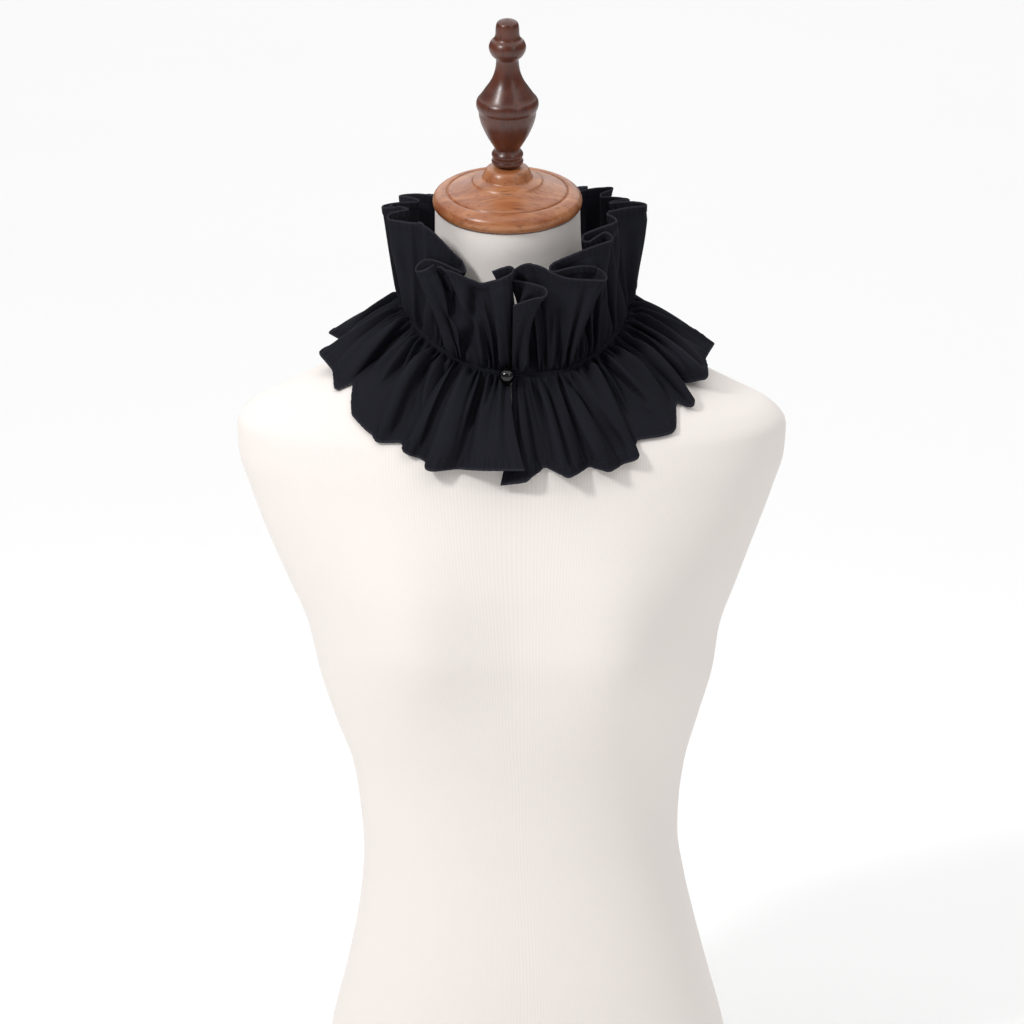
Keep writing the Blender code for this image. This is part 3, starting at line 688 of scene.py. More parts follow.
Fold = namedtuple(
    "Fold", "crest_at crest_out crest_bend crest_rise trough_at trough_in trough_bend trough_rise"
)
STANDING_START = (9.5, 0.0, 1.0)
STANDING_FOLDS = (
    Fold(3, 11, 5.5, -1, 17, 2, 6.0, -13),
    Fold(33, 5, 3.5, 6, 38.5, -1, 2.2, -2),
    Fold(43, 13, 6.0, -6, 29, 12, 4.0, -12),
    Fold(49, 0, 4.0, 15, 60, 5, 4.0, 2),
    Fold(73, 9, 4.5, 2, 79, 7, 3.5, -1),
    Fold(90, 10, 4.5, -4, 104, 13, 7.0, -6),
    Fold(119, 9, 6.0, -6, 129, 11, 4.0, -7),
    Fold(139, 10, 4.5, -7, 146, 12, 4.0, -7),
    Fold(154, 12, 5.0, -6, 162, 10, 4.5, -6),
    Fold(170, 9, 4.5, -6, 177, 12, 4.0, -6),
    Fold(185, 11, 5.0, -6, 193, 11, 4.5, -6),
    Fold(201, 12, 4.0, -4, 207, 9, 3.5, -4),
    Fold(214, 10, 4.5, 0, 221, 12, 4.0, -3),
    Fold(232, 7, 4.5, -1, 240, 10, 4.0, -6),
    Fold(251, 4, 4.0, -7, 257, 12, 4.0, -6),
    Fold(270, 11, 5.0, -2, 288, 13, 5.0, 3),
    Fold(300, 0, 5.0, 6, 315, 13, 4.5, 5),
    Fold(308, 4, 4.0, 6, 338, 8, 4.0, 0),
    Fold(318, 12, 5.0, -8, 344, -2, 2.5, -6),
    Fold(350, 1, 2.5, 17, 359.5, 7.5, 2.2, -5),
    Fold(346.5, 12, 2.5, -11, 359.3, -10, 0.0, -22),
)
FALLING_START = (-2.0, 7.5, -1)
FALLING_FOLDS = (
    Fold(5, 8, 8.0, -1, 13, 3, 6.0, 0),
    Fold(20, 8, 6.0, -3, 25.5, 5, 4.0, 3),
    Fold(30.5, 2, 4.0, 5, 35, 7, 3.5, 8),
    Fold(42, 4, 5.0, 2, 48, 2, 5.0, -2),
    Fold(57, 0, 6.0, -8, 68, 13, 4.0, -6),
    Fold(73, 4, 5.0, -11, 80, -3, 4.0, -6),
    Fold(87, 12, 6.0, -5, 96, 7, 4.5, 2),
    Fold(104, 10, 5.5, -1, 112.5, 7, 4.5, 2),
    Fold(121, 9, 5.5, -2, 129, 7, 4.5, 2),
    Fold(138, 10, 6.0, -2, 146, 6, 4.5, 2),
    Fold(154, 8, 5.5, -1, 162, 7, 4.5, 1),
    Fold(170, 9, 5.5, -2, 178, 7, 4.5, 2),
    Fold(186, 8, 5.5, -1, 194, 6, 4.5, 1),
    Fold(202, 10, 6.0, -2, 210.5, 7, 4.5, 2),
    Fold(219, 9, 5.5, -2, 227, 6, 4.5, 2),
    Fold(235, 9, 5.5, -1, 243, 7, 4.5, 2),
    Fold(251, 9, 5.5, -2, 259, 7, 4.5, 1),
    Fold(268, 12, 6.0, -4, 275, -5, 5.0, -4),
    Fold(284.5, 10, 5.0, -7, 290, 9, 3.5, 2),
    Fold(296.5, 8, 4.0, -7, 301, 6, 4.0, 1),
    Fold(309, 7, 6.0, -4, 321, 11, 4.0, 4),
    Fold(326.5, 8, 3.5, -2, 330.5, -2, 3.0, -2),
    Fold(336, 9, 4.0, -5, 341, 4, 3.5, 1),
    Fold(348, 9, 4.5, -7, 353.5, 6, 3.5, 3),
    Fold(357.5, 4, 4.0, -9, 361.7, 1, 0.0, -11),
)
print(len(STANDING_FOLDS), "and", len(FALLING_FOLDS), "folds")

# %% The frills without their folds
def seam_height(turn):
    drop = SEAM_RIGHT_DROP * np.maximum(0, -np.sin(turn)) * (1 + np.cos(turn)) ** 2
    return SEAM_HEIGHT - SEAM_FRONT_DROP * np.cos(turn) - SEAM_SIDE_RISE * np.cos(2 * turn) - drop


def left_or_right(turn, left, right):
    return np.where(np.sin(turn) > 0, left, right)


def ring_point(turn, half_width, half_depth, height, squareness=2.0):
    across, along = (np.sign(f) * np.abs(f) ** (2 / squareness) for f in (np.sin(turn), np.cos(turn)))
    return np.stack([-half_width * across, SEAM_MIDDLE_Y - half_depth * along, height], axis=-1)


def seam_point(turn):
    width = left_or_right(turn, SEAM_LEFT_WIDTH, SEAM_RIGHT_WIDTH)
    return ring_point(turn, width, SEAM_HALF_DEPTH, seam_height(turn))


def outward(turn):
    """Level direction away from the neck."""
    return np.stack([-np.sin(turn), -np.cos(turn), 0 * turn], axis=-1)


def standing_mean(turn, up):
    """The standing frill without its folds: up is 0 at the seam and 1 at the free edge."""
    foot = seam_point(turn) + np.array([0, 0, BAND_HEIGHT / 2 - SEAM_LAP])
    width = left_or_right(turn, STANDING_LEFT_WIDTH, STANDING_RIGHT_WIDTH)
    edge = ring_point(turn, width, STANDING_HALF_DEPTH, foot[..., 2] + STANDING_HEIGHT)
    return foot + (edge - foot) * up + outward(turn) * STANDING_BULGE * np.sin(math.pi * up)


def falling_mean(turn, down):
    """The falling frill without its folds: it springs out from the seam and then falls to the hem."""
    head = seam_point(turn) - np.array([0, 0, BAND_HEIGHT / 2 - SEAM_LAP])
    at_front = np.exp((np.cos(turn) - 1) / (1 - math.cos(math.radians(FRONT_SPREAD))))[..., None]
    spring_out = FALLING_SPRING_OUT + (FRONT_SPRING_OUT - FALLING_SPRING_OUT) * at_front
    spring_down = FALLING_SPRING_DOWN + (FRONT_SPRING_DOWN - FALLING_SPRING_DOWN) * at_front
    spring = head + outward(turn) * spring_out - np.array([0, 0, 1]) * spring_down
    height = FALLING_HEIGHT - FALLING_FRONT_DROP * np.cos(turn) - FALLING_SIDE_RISE * np.cos(2 * turn)
    height = height - FALLING_CORNER_DROP * np.sin(2 * turn) ** 2 * (1 + np.cos(turn)) / 2
    width = left_or_right(turn, FALLING_LEFT_WIDTH, FALLING_RIGHT_WIDTH)
    hem = ring_point(turn, width, FALLING_HALF_DEPTH, height, FALLING_SQUARENESS)
    return head * (1 - down) ** 2 + spring * 2 * down * (1 - down) + hem * down**2


print("seam is", *(round(float(seam_height(turn)), 1) for turn in (0.0, math.pi)), "mm up, front and back")

# %% Wind the free edge round its folds, and rule the cloth up to the seam
ARC_STEP = math.radians(4)
BEND_COST = 6.0
TURN_MARGIN = 20
TURN_STEP = 0.25
SLOPE_STEP = 0.002
SAME_PLACE = 1e-6
EVEN_RISE_SHARE = 4 / 252
EVEN_OUT_SHARE = 3.5 / 284
SHARPEN_POWER = 2.0
LEAST_STEP_SHARE = 0.5
DRIFT_POWER = 2.0
OPEN_POWER = 0.6
LEVEL_SHARE = 0.5
LEVEL_FADE = 0.4
UPWARD_HINT = np.array([0, 0, 0.3])
FRILL_COLUMNS = 1400
SEAM_ROWS = np.linspace(0.0, 0.24, 9)
MIDDLE_ROWS = np.linspace(0.30, 0.90, 12)
HEM_ROWS = np.array([0.915, 0.926, 0.932, 0.940, 0.952, 0.965, 0.978, 0.990, 1.0])
FRILL_ROWS = np.concatenate([SEAM_ROWS, MIDDLE_ROWS, HEM_ROWS])


def wind_round(start, folds, place, tilt):
    """A smooth line round the folds' bends, as arcs joined by straight lines: along, out and rise."""
    turn, out, rise = start
    posts = [(place(turn), out, 0.0, -1, rise)]
    for f in folds:
        posts.append((place(f.crest_at), f.crest_out - f.crest_bend, f.crest_bend, 1, f.crest_rise))
        posts.append((place(f.trough_at), f.trough_bend - f.trough_in, f.trough_bend, -1, f.trough_rise))
    headings = []
    for (ax, ay, ar, side, _), (bx, by, br, _, _) in zip(posts, posts[1:]):
        far = math.hypot(bx - ax, by - ay)
        headings.append(math.atan2(by - ay, bx - ax) - side * math.asin(min(1, (ar + br) / far)))
    headings = [headings[0], *headings, headings[-1]]
    line = []
    for (x, y, radius, side, rise), into, out in zip(posts, headings, headings[1:]):
        steps = max(1, math.ceil(abs(out - into) / ARC_STEP))
        for k in range(steps + 1):
            heading = into + (out - into) * k / steps
            up = side * math.cos(heading)
            lift = rise + tilt * radius * (side - up)
            line.append((x - radius * side * math.sin(heading), y + radius * up, lift))
    return np.array(line)


def columns_along(line, count):
    """That many points along a line, closer together where it bends."""
    length = np.hypot(*np.diff(line[:, :2], axis=0).T)
    line = line[np.concatenate([[True], length > SAME_PLACE])]
    step = np.diff(line[:, :2], axis=0)
    heading = np.unwrap(np.arctan2(step[:, 1], step[:, 0]))
    bend = np.concatenate([[0], np.abs(np.diff(heading))])
    cost = np.concatenate([[0], np.cumsum(np.hypot(*step.T) + BEND_COST * bend)])
    wanted = np.linspace(0, cost[-1], count)
    return np.stack([np.interp(wanted, cost, values) for values in line.T], axis=1)


def evened(values, share):
    """The same values with what changes over that share of them smoothed out."""
    reach = round(share * len(values))
    before = 2 * values[0] - values[reach:0:-1]
    after = 2 * values[-1] - values[-2 : -reach - 2 : -1]
    weights = np.hanning(2 * reach + 3)[1:-1]
    return np.convolve(np.concatenate([before, values, after]), weights / weights.sum(), "valid")


def frill_grid(mean, start, folds, ends, even_share, tilt=0.0, lap_out=0.0, fabric_height=None):
    """The middle of the cloth, as columns by rows by 3, and each column's place along the strip."""
    fine_turn = np.radians(np.arange(-TURN_MARGIN, 360 + TURN_MARGIN, TURN_STEP))
    edge = mean(fine_turn, 1.0)
    travel = np.concatenate([[0], np.cumsum(np.linalg.norm(np.diff(edge, axis=0), axis=1))])

    def place(degrees):
        return float(np.interp(math.radians(degrees), fine_turn, travel))

    line = columns_along(wind_round(start, folds, place, tilt), FRILL_COLUMNS)
    edge_turn = np.interp(line[:, 0], travel, fine_turn)
    steps = np.diff(evened(edge_turn, even_share))
    steps = np.maximum(steps, LEAST_STEP_SHARE * steps.mean())
    seam_turn = np.concatenate([[0], np.cumsum(steps)])
    seam_turn = np.interp(seam_turn, (0, seam_turn[-1]), np.radians(ends))
    out_near_seam = evened(line[:, 1], EVEN_OUT_SHARE)
    rise = evened(line[:, 2], EVEN_RISE_SHARE)
    lap = lap_out * np.clip(1 - (1 - np.linspace(0, 1, FRILL_COLUMNS)) / LAP_SHARE, 0, 1)
    grid = np.zeros((FRILL_COLUMNS, len(FRILL_ROWS), 3))
    for r, v in enumerate(FRILL_ROWS):
        turn = seam_turn + (edge_turn - seam_turn) * v**DRIFT_POWER
        along = mean(turn + SLOPE_STEP, v) - mean(turn - SLOPE_STEP, v)
        down = mean(turn, v + SLOPE_STEP) - mean(turn, v - SLOPE_STEP)
        normal = np.cross(along, down)
        normal /= np.linalg.norm(normal, axis=1, keepdims=True)
        normal *= np.sign((normal * (outward(turn) + UPWARD_HINT)).sum(axis=1, keepdims=True))
        normal += (outward(turn) - normal) * max(1 - v / LEVEL_FADE, LEVEL_SHARE)
        normal /= np.linalg.norm(normal, axis=1, keepdims=True)
        out = out_near_seam + (line[:, 1] - out_near_seam) * v**SHARPEN_POWER
        grid[:, r] = mean(turn, v) + normal * (out * v**OPEN_POWER + lap * (1 - v))[:, None]
    if fabric_height:
        lean = np.linalg.norm((grid[:, -1] - grid[:, 0])[:, :2], axis=1)
        height = np.sqrt(np.maximum(fabric_height**2 - lean**2, 0))
        grid[:, :, 2] = grid[:, :1, 2] + height[:, None] * FRILL_ROWS
    along_strip = np.concatenate([[0], np.cumsum(np.linalg.norm(np.diff(grid[:, -1], axis=0), axis=1))])
    grid[:, :, 2] += rise[:, None] * FRILL_ROWS
    return grid, along_strip


standing, standing_strip = frill_grid(
    standing_mean,
    STANDING_START,
    STANDING_FOLDS,
    STANDING_ENDS,
    STANDING_EVEN_SHARE,
    MOUTH_TILT,
    LAP_OUT,
    STANDING_HEIGHT + SEAM_LAP,
)
falling, falling_strip = frill_grid(
    falling_mean, FALLING_START, FALLING_FOLDS, FALLING_ENDS, FALLING_EVEN_SHARE
)
print("strips are", round(standing_strip[-1]), "and", round(falling_strip[-1]), "mm long")

# %% [markdown]
# ## Gathers, creases and hems
#
# Three finer shapes sit on the main folds. Gathers are tight ridges at the seam, about four millimetres
# apart; two by two they run together and die out down the cloth. Creases are soft troughs and ridges between
# two points of the flat strip, listed from the photograph at the front and in the same manner
# behind. The hem is the edge turned under and stitched, so the cloth is twice as thick there and puckers
# a little between stitches. All three are heights along the cloth's own normal.

# %% Shape the gathers, creases and hems on the flat strip
CLOTH = 0.5
HEM_WIDTH = 5.0
HEM_EXTRA = 0.55
HEM_STEP = 0.8
GATHER_PITCH = 9.5
GATHER_HEIGHT = 2.2
GATHER_LENGTH = 17.0
GATHER_DRIFT = 1.3
STRENGTH_DRIFT = 0.22
STRENGTH_PITCH_SHARE = 0.8
STRENGTH_SHIFT = 40
PINCH_ABOVE_BAND_EDGE = 0.9
PINCH_LENGTH = 3.5
JOINED_HEIGHT = 3.4
JOINED_LENGTH = 52.0
JOINED_FROM = 12.0
JOINED_LAG = 0.6
REACH_DRIFT = 0.2
REACH_SHIFT = 90
FLAT_END = 26.0
CREASE_STRENGTH = 2.2
PUCKER_PITCH = 4.8
PUCKER_HEIGHT = 0.4
PUCKER_DRIFT = 1.1
PUCKER_FROM_EDGE = 3.0
PUCKER_FADE = 3.5
FORM_CLEARANCE = 2.3
SEAM_CLEARANCE = 1.0
WANDER_WAVES = ((6.1, 1.0, 1.0), (3.7, 0.7, 2.3), (2.3, 0.4, 4.1))


def smooth_step(value):
    value = np.clip(value, 0, 1)
    return value * value * (3 - 2 * value)


def wander(place, pitch, amount):
    """A slow, irregular drift along the strip, so that repeats of that pitch are never even."""
    return amount * sum(
        share * np.sin(2 * math.pi * place / (pitch * pitches) + lag) for pitches, share, lag in WANDER_WAVES
    )


def gather_heights(place, down):
    """Ridges at the seam, and the broader ones that they join into."""
    phase = 2 * math.pi * place / GATHER_PITCH + wander(place, GATHER_PITCH, GATHER_DRIFT)
    uneven = wander(place + STRENGTH_SHIFT, GATHER_PITCH * STRENGTH_PITCH_SHARE, STRENGTH_DRIFT)
    pinch = smooth_step((down - SEAM_LAP + PINCH_ABOVE_BAND_EDGE) / PINCH_LENGTH)
    flat_end = smooth_step(np.minimum(place, place.max() - place) / FLAT_END)
    tight = GATHER_HEIGHT * pinch * np.cos(phase) * np.exp(-((down / GATHER_LENGTH) ** 2))
    reach = JOINED_LENGTH * (1 + wander(place + REACH_SHIFT, GATHER_PITCH, REACH_DRIFT))
    fade = smooth_step(down / JOINED_FROM) * np.exp(-((down / reach) ** 2))
    joined = JOINED_HEIGHT * np.cos(phase / 2 + JOINED_LAG) * fade
    return (tight + joined) * (1 + uneven) * flat_end


def crease_heights(place, down, creases):
    """Soft ridges, or troughs where the height is negative, between two points of the flat strip."""
    total = np.zeros(np.broadcast(place, down).shape)
    for crease in creases:
        run = np.array([crease.to_place - crease.from_place, crease.to_down - crease.from_down], float)
        length = math.hypot(*run)
        run /= length
        x, y = place - crease.from_place, down - crease.from_down
        share = np.clip((x * run[0] + y * run[1]) / length, 0, 1)
        off = np.hypot(x - share * length * run[0], y - share * length * run[1])
        total += CREASE_STRENGTH * crease.height * np.exp(-((off / crease.half_width) ** 2))
    return total


def hem_distance(place, down, width):
    """How far each point is from the nearest hemmed edge."""
    return np.minimum(width - down, np.minimum(place, place.max() - place))


def cloth_normals(grid, turned):
    normal = np.cross(np.gradient(grid, axis=0), np.gradient(grid, axis=1))
    normal[:, 0, 2] = 0
    return turned * normal / np.linalg.norm(normal, axis=2, keepdims=True)


def keep_clear(grid, clearance):
    """Moves cloth points out until they are that far from the form."""
    for c, column in enumerate(grid):
        for r, point in enumerate(column):
            wanted = clearance if r else SEAM_CLEARANCE
            surface, normal, _, _ = torso_tree.find_nearest(Vector(point))
            depth = (Vector(point) - surface).dot(normal)
            if depth < wanted:
                away = normal if r else Vector((normal.x, normal.y, 0)).normalized()
                grid[c, r] = Vector(point) + away * (wanted - depth)
    return grid


def finish_cloth(grid, strip, width, turned, creases):
    """The cloth with its gathers, creases and puckers, its thickness, and its place on the flat strip."""
    place, down = strip[:, None], width * FRILL_ROWS[None, :]
    edge = hem_distance(place, down, width)
    height = gather_heights(place, down) + crease_heights(place, down, creases)
    height = height * smooth_step(edge / (2 * HEM_WIDTH))
    pucker = np.sin(2 * math.pi * place / PUCKER_PITCH + wander(place, PUCKER_PITCH, PUCKER_DRIFT))
    near_hem = np.exp(-(((width - down - PUCKER_FROM_EDGE) / PUCKER_FADE) ** 2))
    height = height + PUCKER_HEIGHT * pucker * near_hem
    shaped = keep_clear(grid + cloth_normals(grid, turned) * height[:, :, None], FORM_CLEARANCE)
    thickness = CLOTH + HEM_EXTRA * smooth_step((HEM_WIDTH - edge) / HEM_STEP)
    flat = np.stack(np.broadcast_arrays(place, down), axis=-1)
    return shaped, thickness, flat


print("cloth functions ready")

# %% Table of the creases, and the finished cloths
Crease = namedtuple("Crease", "from_place from_down to_place to_down half_width height")
STANDING_CREASES = (
    Crease(20, 10, 18, 64, 3.5, -2.2),
    Crease(36, 14, 35, 60, 8, 1.6),
    Crease(92, 12, 55, 64, 4, -2.4),
    Crease(92, 25, 66, 55, 5, 1.2),
    Crease(100, 20, 82, 66, 4, -2.6),
    Crease(118, 15, 104, 60, 8, 1.2),
    Crease(188, 25, 192, 64, 5, -1.5),
    Crease(214, 12, 222, 50, 5, 1.2),
    Crease(262, 10, 250, 52, 5, -1.6),
    Crease(300, 8, 312, 58, 6, -1.5),
    Crease(345, 12, 338, 60, 5, 1.4),
    Crease(392, 10, 402, 50, 4, -1.8),
    Crease(440, 14, 430, 62, 6, 1.3),
    Crease(486, 8, 494, 54, 4, -2.0),
    Crease(534, 12, 526, 60, 5, -1.5),
    Crease(580, 10, 590, 48, 6, 1.4),
    Crease(628, 14, 620, 62, 4, -1.8),
    Crease(676, 8, 684, 56, 5, 1.2),
    Crease(720, 12, 712, 58, 4, -2.0),
    Crease(764, 10, 772, 52, 5, -1.4),
    Crease(806, 8, 800, 60, 6, 1.4),
    Crease(850, 12, 862, 56, 4, -1.8),
    Crease(905, 8, 896, 54, 5, -1.6),
    Crease(948, 14, 940, 60, 6, 1.4),
    Crease(1012, 10, 1004, 52, 5, -1.6),
    Crease(1052, 8, 1058, 46, 3, -1.6),
    Crease(1066, 6, 1064, 40, 3, -1.4),
    Crease(1090, 8, 1108, 62, 4, -2.6),
)
FALLING_CREASES = (
    Crease(34, 6, 36, 30, 2.5, -1.6),
    Crease(52, 8, 50, 44, 3, -1.8),
    Crease(64, 14, 60, 70, 7, 1.4),
    Crease(103, 12, 108, 62, 4, -2.6),
    Crease(118, 22, 112, 52, 3, -1.6),
    Crease(132, 20, 130, 62, 5, 1.6),
    Crease(150, 16, 164, 64, 7, -3.6),
    Crease(165, 5, 158, 32, 2.5, -1.6),
    Crease(178, 8, 186, 50, 4, 1.4),
    Crease(192, 8, 196, 56, 3.5, -1.8),
    Crease(216, 10, 222, 60, 8, 1.5),
    Crease(252, 12, 262, 62, 6, -1.8),
    Crease(300, 10, 292, 58, 5, 1.5),
    Crease(336, 8, 346, 54, 4, -2.0),
    Crease(380, 14, 372, 66, 6, 1.4),
    Crease(418, 8, 426, 50, 4, -2.2),
    Crease(462, 12, 454, 62, 5, 1.6),
    Crease(500, 8, 508, 56, 4, -1.8),
    Crease(546, 10, 538, 64, 6, 1.5),
    Crease(588, 8, 598, 52, 4, -2.2),
    Crease(632, 12, 624, 60, 5, 1.4),
    Crease(674, 8, 682, 56, 4, -2.0),
    Crease(716, 14, 708, 64, 6, 1.5),
    Crease(760, 8, 770, 54, 4, -1.8),
    Crease(812, 8, 806, 60, 4, 1.4),
    Crease(833, 10, 826, 62, 4, 1.2),
    Crease(850, 16, 843, 62, 4, -2.4),
    Crease(872, 20, 858, 66, 8, 2.0),
    Crease(893, 12, 880, 42, 4, -2.2),
    Crease(912, 12, 903, 70, 5, -2.8),
    Crease(935, 10, 920, 66, 4, 1.8),
    Crease(962, 12, 948, 46, 2.5, -2.0),
    Crease(978, 12, 962, 70, 6, 1.8),
    Crease(1022, 12, 1003, 60, 4.5, -2.2),
    Crease(1036, 10, 1020, 70, 6, 1.6),
    Crease(1056, 10, 1052, 70, 4.5, -2.6),
    Crease(1072, 8, 1068, 36, 2.5, -1.6),
    Crease(1086, 10, 1082, 68, 3.5, -2.0),
)
falling_width = float(np.linalg.norm(np.diff(falling, axis=1), axis=2).sum(axis=1).mean())
Ruffle = namedtuple("Ruffle", "grid strip width turned creases")
ruffles = {
    "standing": Ruffle(standing, standing_strip, STANDING_HEIGHT, -1, STANDING_CREASES),
    "falling": Ruffle(falling, falling_strip, falling_width, 1, FALLING_CREASES),
}
cloths = {name: finish_cloth(*ruffle) for name, ruffle in ruffles.items()}
print("falling frill is", round(falling_width, 1), "mm wide")

# %% Make both frills as thin closed shells, with a paler rim a row deep on each face as a painted highlight
RIM_ROWS = 1


def cloth_shell(name, grid, thickness, flat, material, rim_material, turned):
    """A closed shell round the cloth's middle, its free edge rounded."""
    columns, rows = grid.shape[:2]
    half = cloth_normals(grid, turned) * thickness[:, :, None] / 2
    over = grid[:, -1] - grid[:, -2]
    rim = grid[:, -1] + over / np.linalg.norm(over, axis=1, keepdims=True) * thickness[:, -1:] / 2
    section = np.concatenate([grid + half, rim[:, None], (grid - half)[:, ::-1]], axis=1)
    uv = np.concatenate([flat, flat[:, -1:], flat[:, ::-1]], axis=1)
    size = 2 * rows + 1
    faces = grid_faces(columns, size, True)
    r = np.arange(rows - 1)
    start = np.stack([r, size - 1 - r, size - 2 - r, r + 1], axis=1)
    end = start[:, ::-1] + (columns - 1) * size
    faces = np.concatenate([faces, start, end])[:, ::turned]
    rim_faces = np.array([[rows - 1, rows + 1, rows], [rows, rows + 1, rows - 1]])
    rim_faces[1] += (columns - 1) * size
    faces = faces.tolist() + rim_faces[:, ::turned].tolist()
    made = make_object(name, section.reshape(-1, 3), faces, material)
    # The rim faces take the paler cotton, a painted highlight where the folded edge catches light.
    made.data.materials.append(rim_material)
    rings = np.arange(columns - 1)[:, None] * size + np.arange(rows - RIM_ROWS - 1, rows + RIM_ROWS + 1)
    for face in rings.ravel().tolist():
        made.data.polygons[face].material_index = 1
    set_uv(made, uv.reshape(-1, 2))
    return made


for name, ruffle in ruffles.items():
    shell = cloth_shell(f"{name}_ruffle", *cloths[name], cotton, painted_rim_highlight, ruffle.turned)
    hand_over(shell, "cotton", f"{name}_frill")

# %% [markdown]
# ## Neck band
#
# The band is a folded strip that holds both rows of gathers. Its edges are rounded by the folded cloth, and
# the gathers under it lift it in low waves.

# %% Make the neck band
BAND_COLUMNS = 720
BAND_ROWS = np.linspace(0, 1, 7)
BAND_THICKNESS = 1.1
BAND_WAVE = 0.12
BAND_WAVE_PITCH = 4.6
BAND_DRIFT = 1.0


def build_band():
    turn = np.radians(np.linspace(OPENING_TURN, 360 - OPENING_TURN, BAND_COLUMNS))
    middle = seam_point(turn)
    strip = np.concatenate([[0], np.cumsum(np.linalg.norm(np.diff(middle, axis=0), axis=1))])
    up = (BAND_ROWS - 0.5) * (BAND_HEIGHT - BAND_THICKNESS)
    grid = middle[:, None, :] + up[None, :, None] * np.array([0, 0, 1])
    lean = keep_clear(grid[:, :1].copy(), SEAM_CLEARANCE) - grid[:, :1]
    grid = grid + lean * (1 - BAND_ROWS)[None, :, None]
    phase = 2 * math.pi * strip / BAND_WAVE_PITCH + wander(strip, BAND_WAVE_PITCH, BAND_DRIFT)
    wave = BAND_WAVE * np.cos(phase)
    grid = grid + outward(turn)[:, None, :] * wave[:, None, None]
    flat = np.stack(np.broadcast_arrays(strip[:, None], up[None, :]), axis=-1)
    thickness = np.full(grid.shape[:2], BAND_THICKNESS)
    return cloth_shell("neck_band_cloth", grid, thickness, flat, cotton, cotton, -1)


band = build_band()
hand_over(band, "cotton", "neck_band")

# %% [markdown]
# ## Stitches
#
# A lockstitch shows as a row of short raised threads, end to end with small gaps, a little in from the
# folded edge. One node group lays them along any path: it spaces points along the curve, sets a thread
# bead on each, and turns it to the curve. The hem of each frill has a row on both faces, because both show.

# %% Node group that lays stitches along a path
STITCH_PITCH = 3.0
STITCH_LENGTH = 2.1
THREAD_RADIUS = 0.22
THREAD_PROUD = 0.3
STITCHES_IN = 4.0


def new_group(name, *lengths):
    """A geometry node group that takes a mesh, the named lengths and a material, and gives a mesh."""
    group = bpy.data.node_groups.new(name, "GeometryNodeTree")
    for way in ("INPUT", "OUTPUT"):
        group.interface.new_socket("Geometry", in_out=way, socket_type="NodeSocketGeometry")
    for length in lengths:
        group.interface.new_socket(length, in_out="INPUT", socket_type="NodeSocketFloat")
    group.interface.new_socket("Material", in_out="INPUT", socket_type="NodeSocketMaterial")
    return group, group.nodes.new("NodeGroupInput"), group.nodes.new("NodeGroupOutput")


def with_group(made, group, **values):
    """The object with the group's result baked in, its inputs set by their sockets' identifiers."""
    modifier = made.modifiers.new(group.name, "NODES")
    modifier.node_group = group
    for item in group.interface.items_tree:
        if item.in_out == "INPUT" and item.name in values:
            modifier[item.identifier] = values[item.name]
    return bake_modifiers(made)


def stitch_group():
    group, given, result = new_group("stitches_along_path", "Pitch", "Length", "Radius")
    line = add_node(group, "GeometryNodeMeshToCurve", {"Mesh": given.outputs["Geometry"]})
    spaced = add_node(
        group,
        "GeometryNodeResampleCurve",
        {"Curve": line.outputs[0], "Length": given.outputs["Pitch"]},
        mode="LENGTH",
    )
    along = add_node(group, "GeometryNodeInputTangent")
    turned = add_node(group, "FunctionNodeAlignRotationToVector", {"Vector": along.outputs[0]}, axis="Z")
    half = add_node(group, "ShaderNodeMath", {0: given.outputs["Length"], 1: 0.5}, operation="MULTIPLY")
    size = add_node(
        group,
        "ShaderNodeCombineXYZ",
        {"X": given.outputs["Radius"], "Y": given.outputs["Radius"], "Z": half.outputs[0]},
    )
    bead = add_node(group, "GeometryNodeMeshUVSphere", {"Segments": 8, "Rings": 6, "Radius": 1.0})
    shaped = add_node(group, "GeometryNodeTransform", {"Geometry": bead.outputs[0], "Scale": size.outputs[0]})
    laid = add_node(
        group,
        "GeometryNodeInstanceOnPoints",
        {"Points": spaced.outputs[0], "Instance": shaped.outputs[0], "Rotation": turned.outputs[0]},
    )
    real = add_node(group, "GeometryNodeRealizeInstances", {"Geometry": laid.outputs[0]})
    smooth = add_node(group, "GeometryNodeSetShadeSmooth", {"Geometry": real.outputs[0]})
    painted = add_node(
        group,
        "GeometryNodeSetMaterial",
        {"Geometry": smooth.outputs[0], "Material": given.outputs["Material"]},
    )
    group.links.new(painted.outputs[0], result.inputs[0])
    return group


stitches = stitch_group()
print("made", stitches.name)

# %% Sew the hems
def sew(name, paths):
    """Stitches along each path of points in millimetres."""
    points = np.concatenate(paths)
    starts = np.cumsum([0, *[len(path) for path in paths]])
    edges = [(i, i + 1) for a, b in zip(starts, starts[1:]) for i in range(a, b - 1)]
    made = make_object(name, points, [], thread, edges)
    settings = {"Pitch": STITCH_PITCH * MM, "Length": STITCH_LENGTH * MM, "Radius": THREAD_RADIUS * MM}
    return with_group(made, stitches, **settings, Material=thread)


def hem_paths(grid, thickness, ruffle):
    """A path 4 mm in from the hem and from both ends of the strip, on each face of the cloth."""
    row = int(np.argmin(np.abs(ruffle.width * (1 - FRILL_ROWS) - STITCHES_IN)))
    first = int(np.searchsorted(ruffle.strip, STITCHES_IN))
    last = len(ruffle.strip) - 1 - first
    normal = cloth_normals(grid, ruffle.turned)
    paths = []
    for side in (1, -1):
        face = grid + normal * (thickness / 2 + THREAD_RADIUS * THREAD_PROUD)[:, :, None] * side
        paths.append(np.concatenate([face[first, 2:row], face[first:last, row], face[last, row:2:-1]]))
    return paths


for name, ruffle in ruffles.items():
    shaped, thickness, _ = cloths[name]
    hem = sew(f"{name}_hem_stitches", hem_paths(shaped, thickness, ruffle))
    hand_over(hem, "cotton")

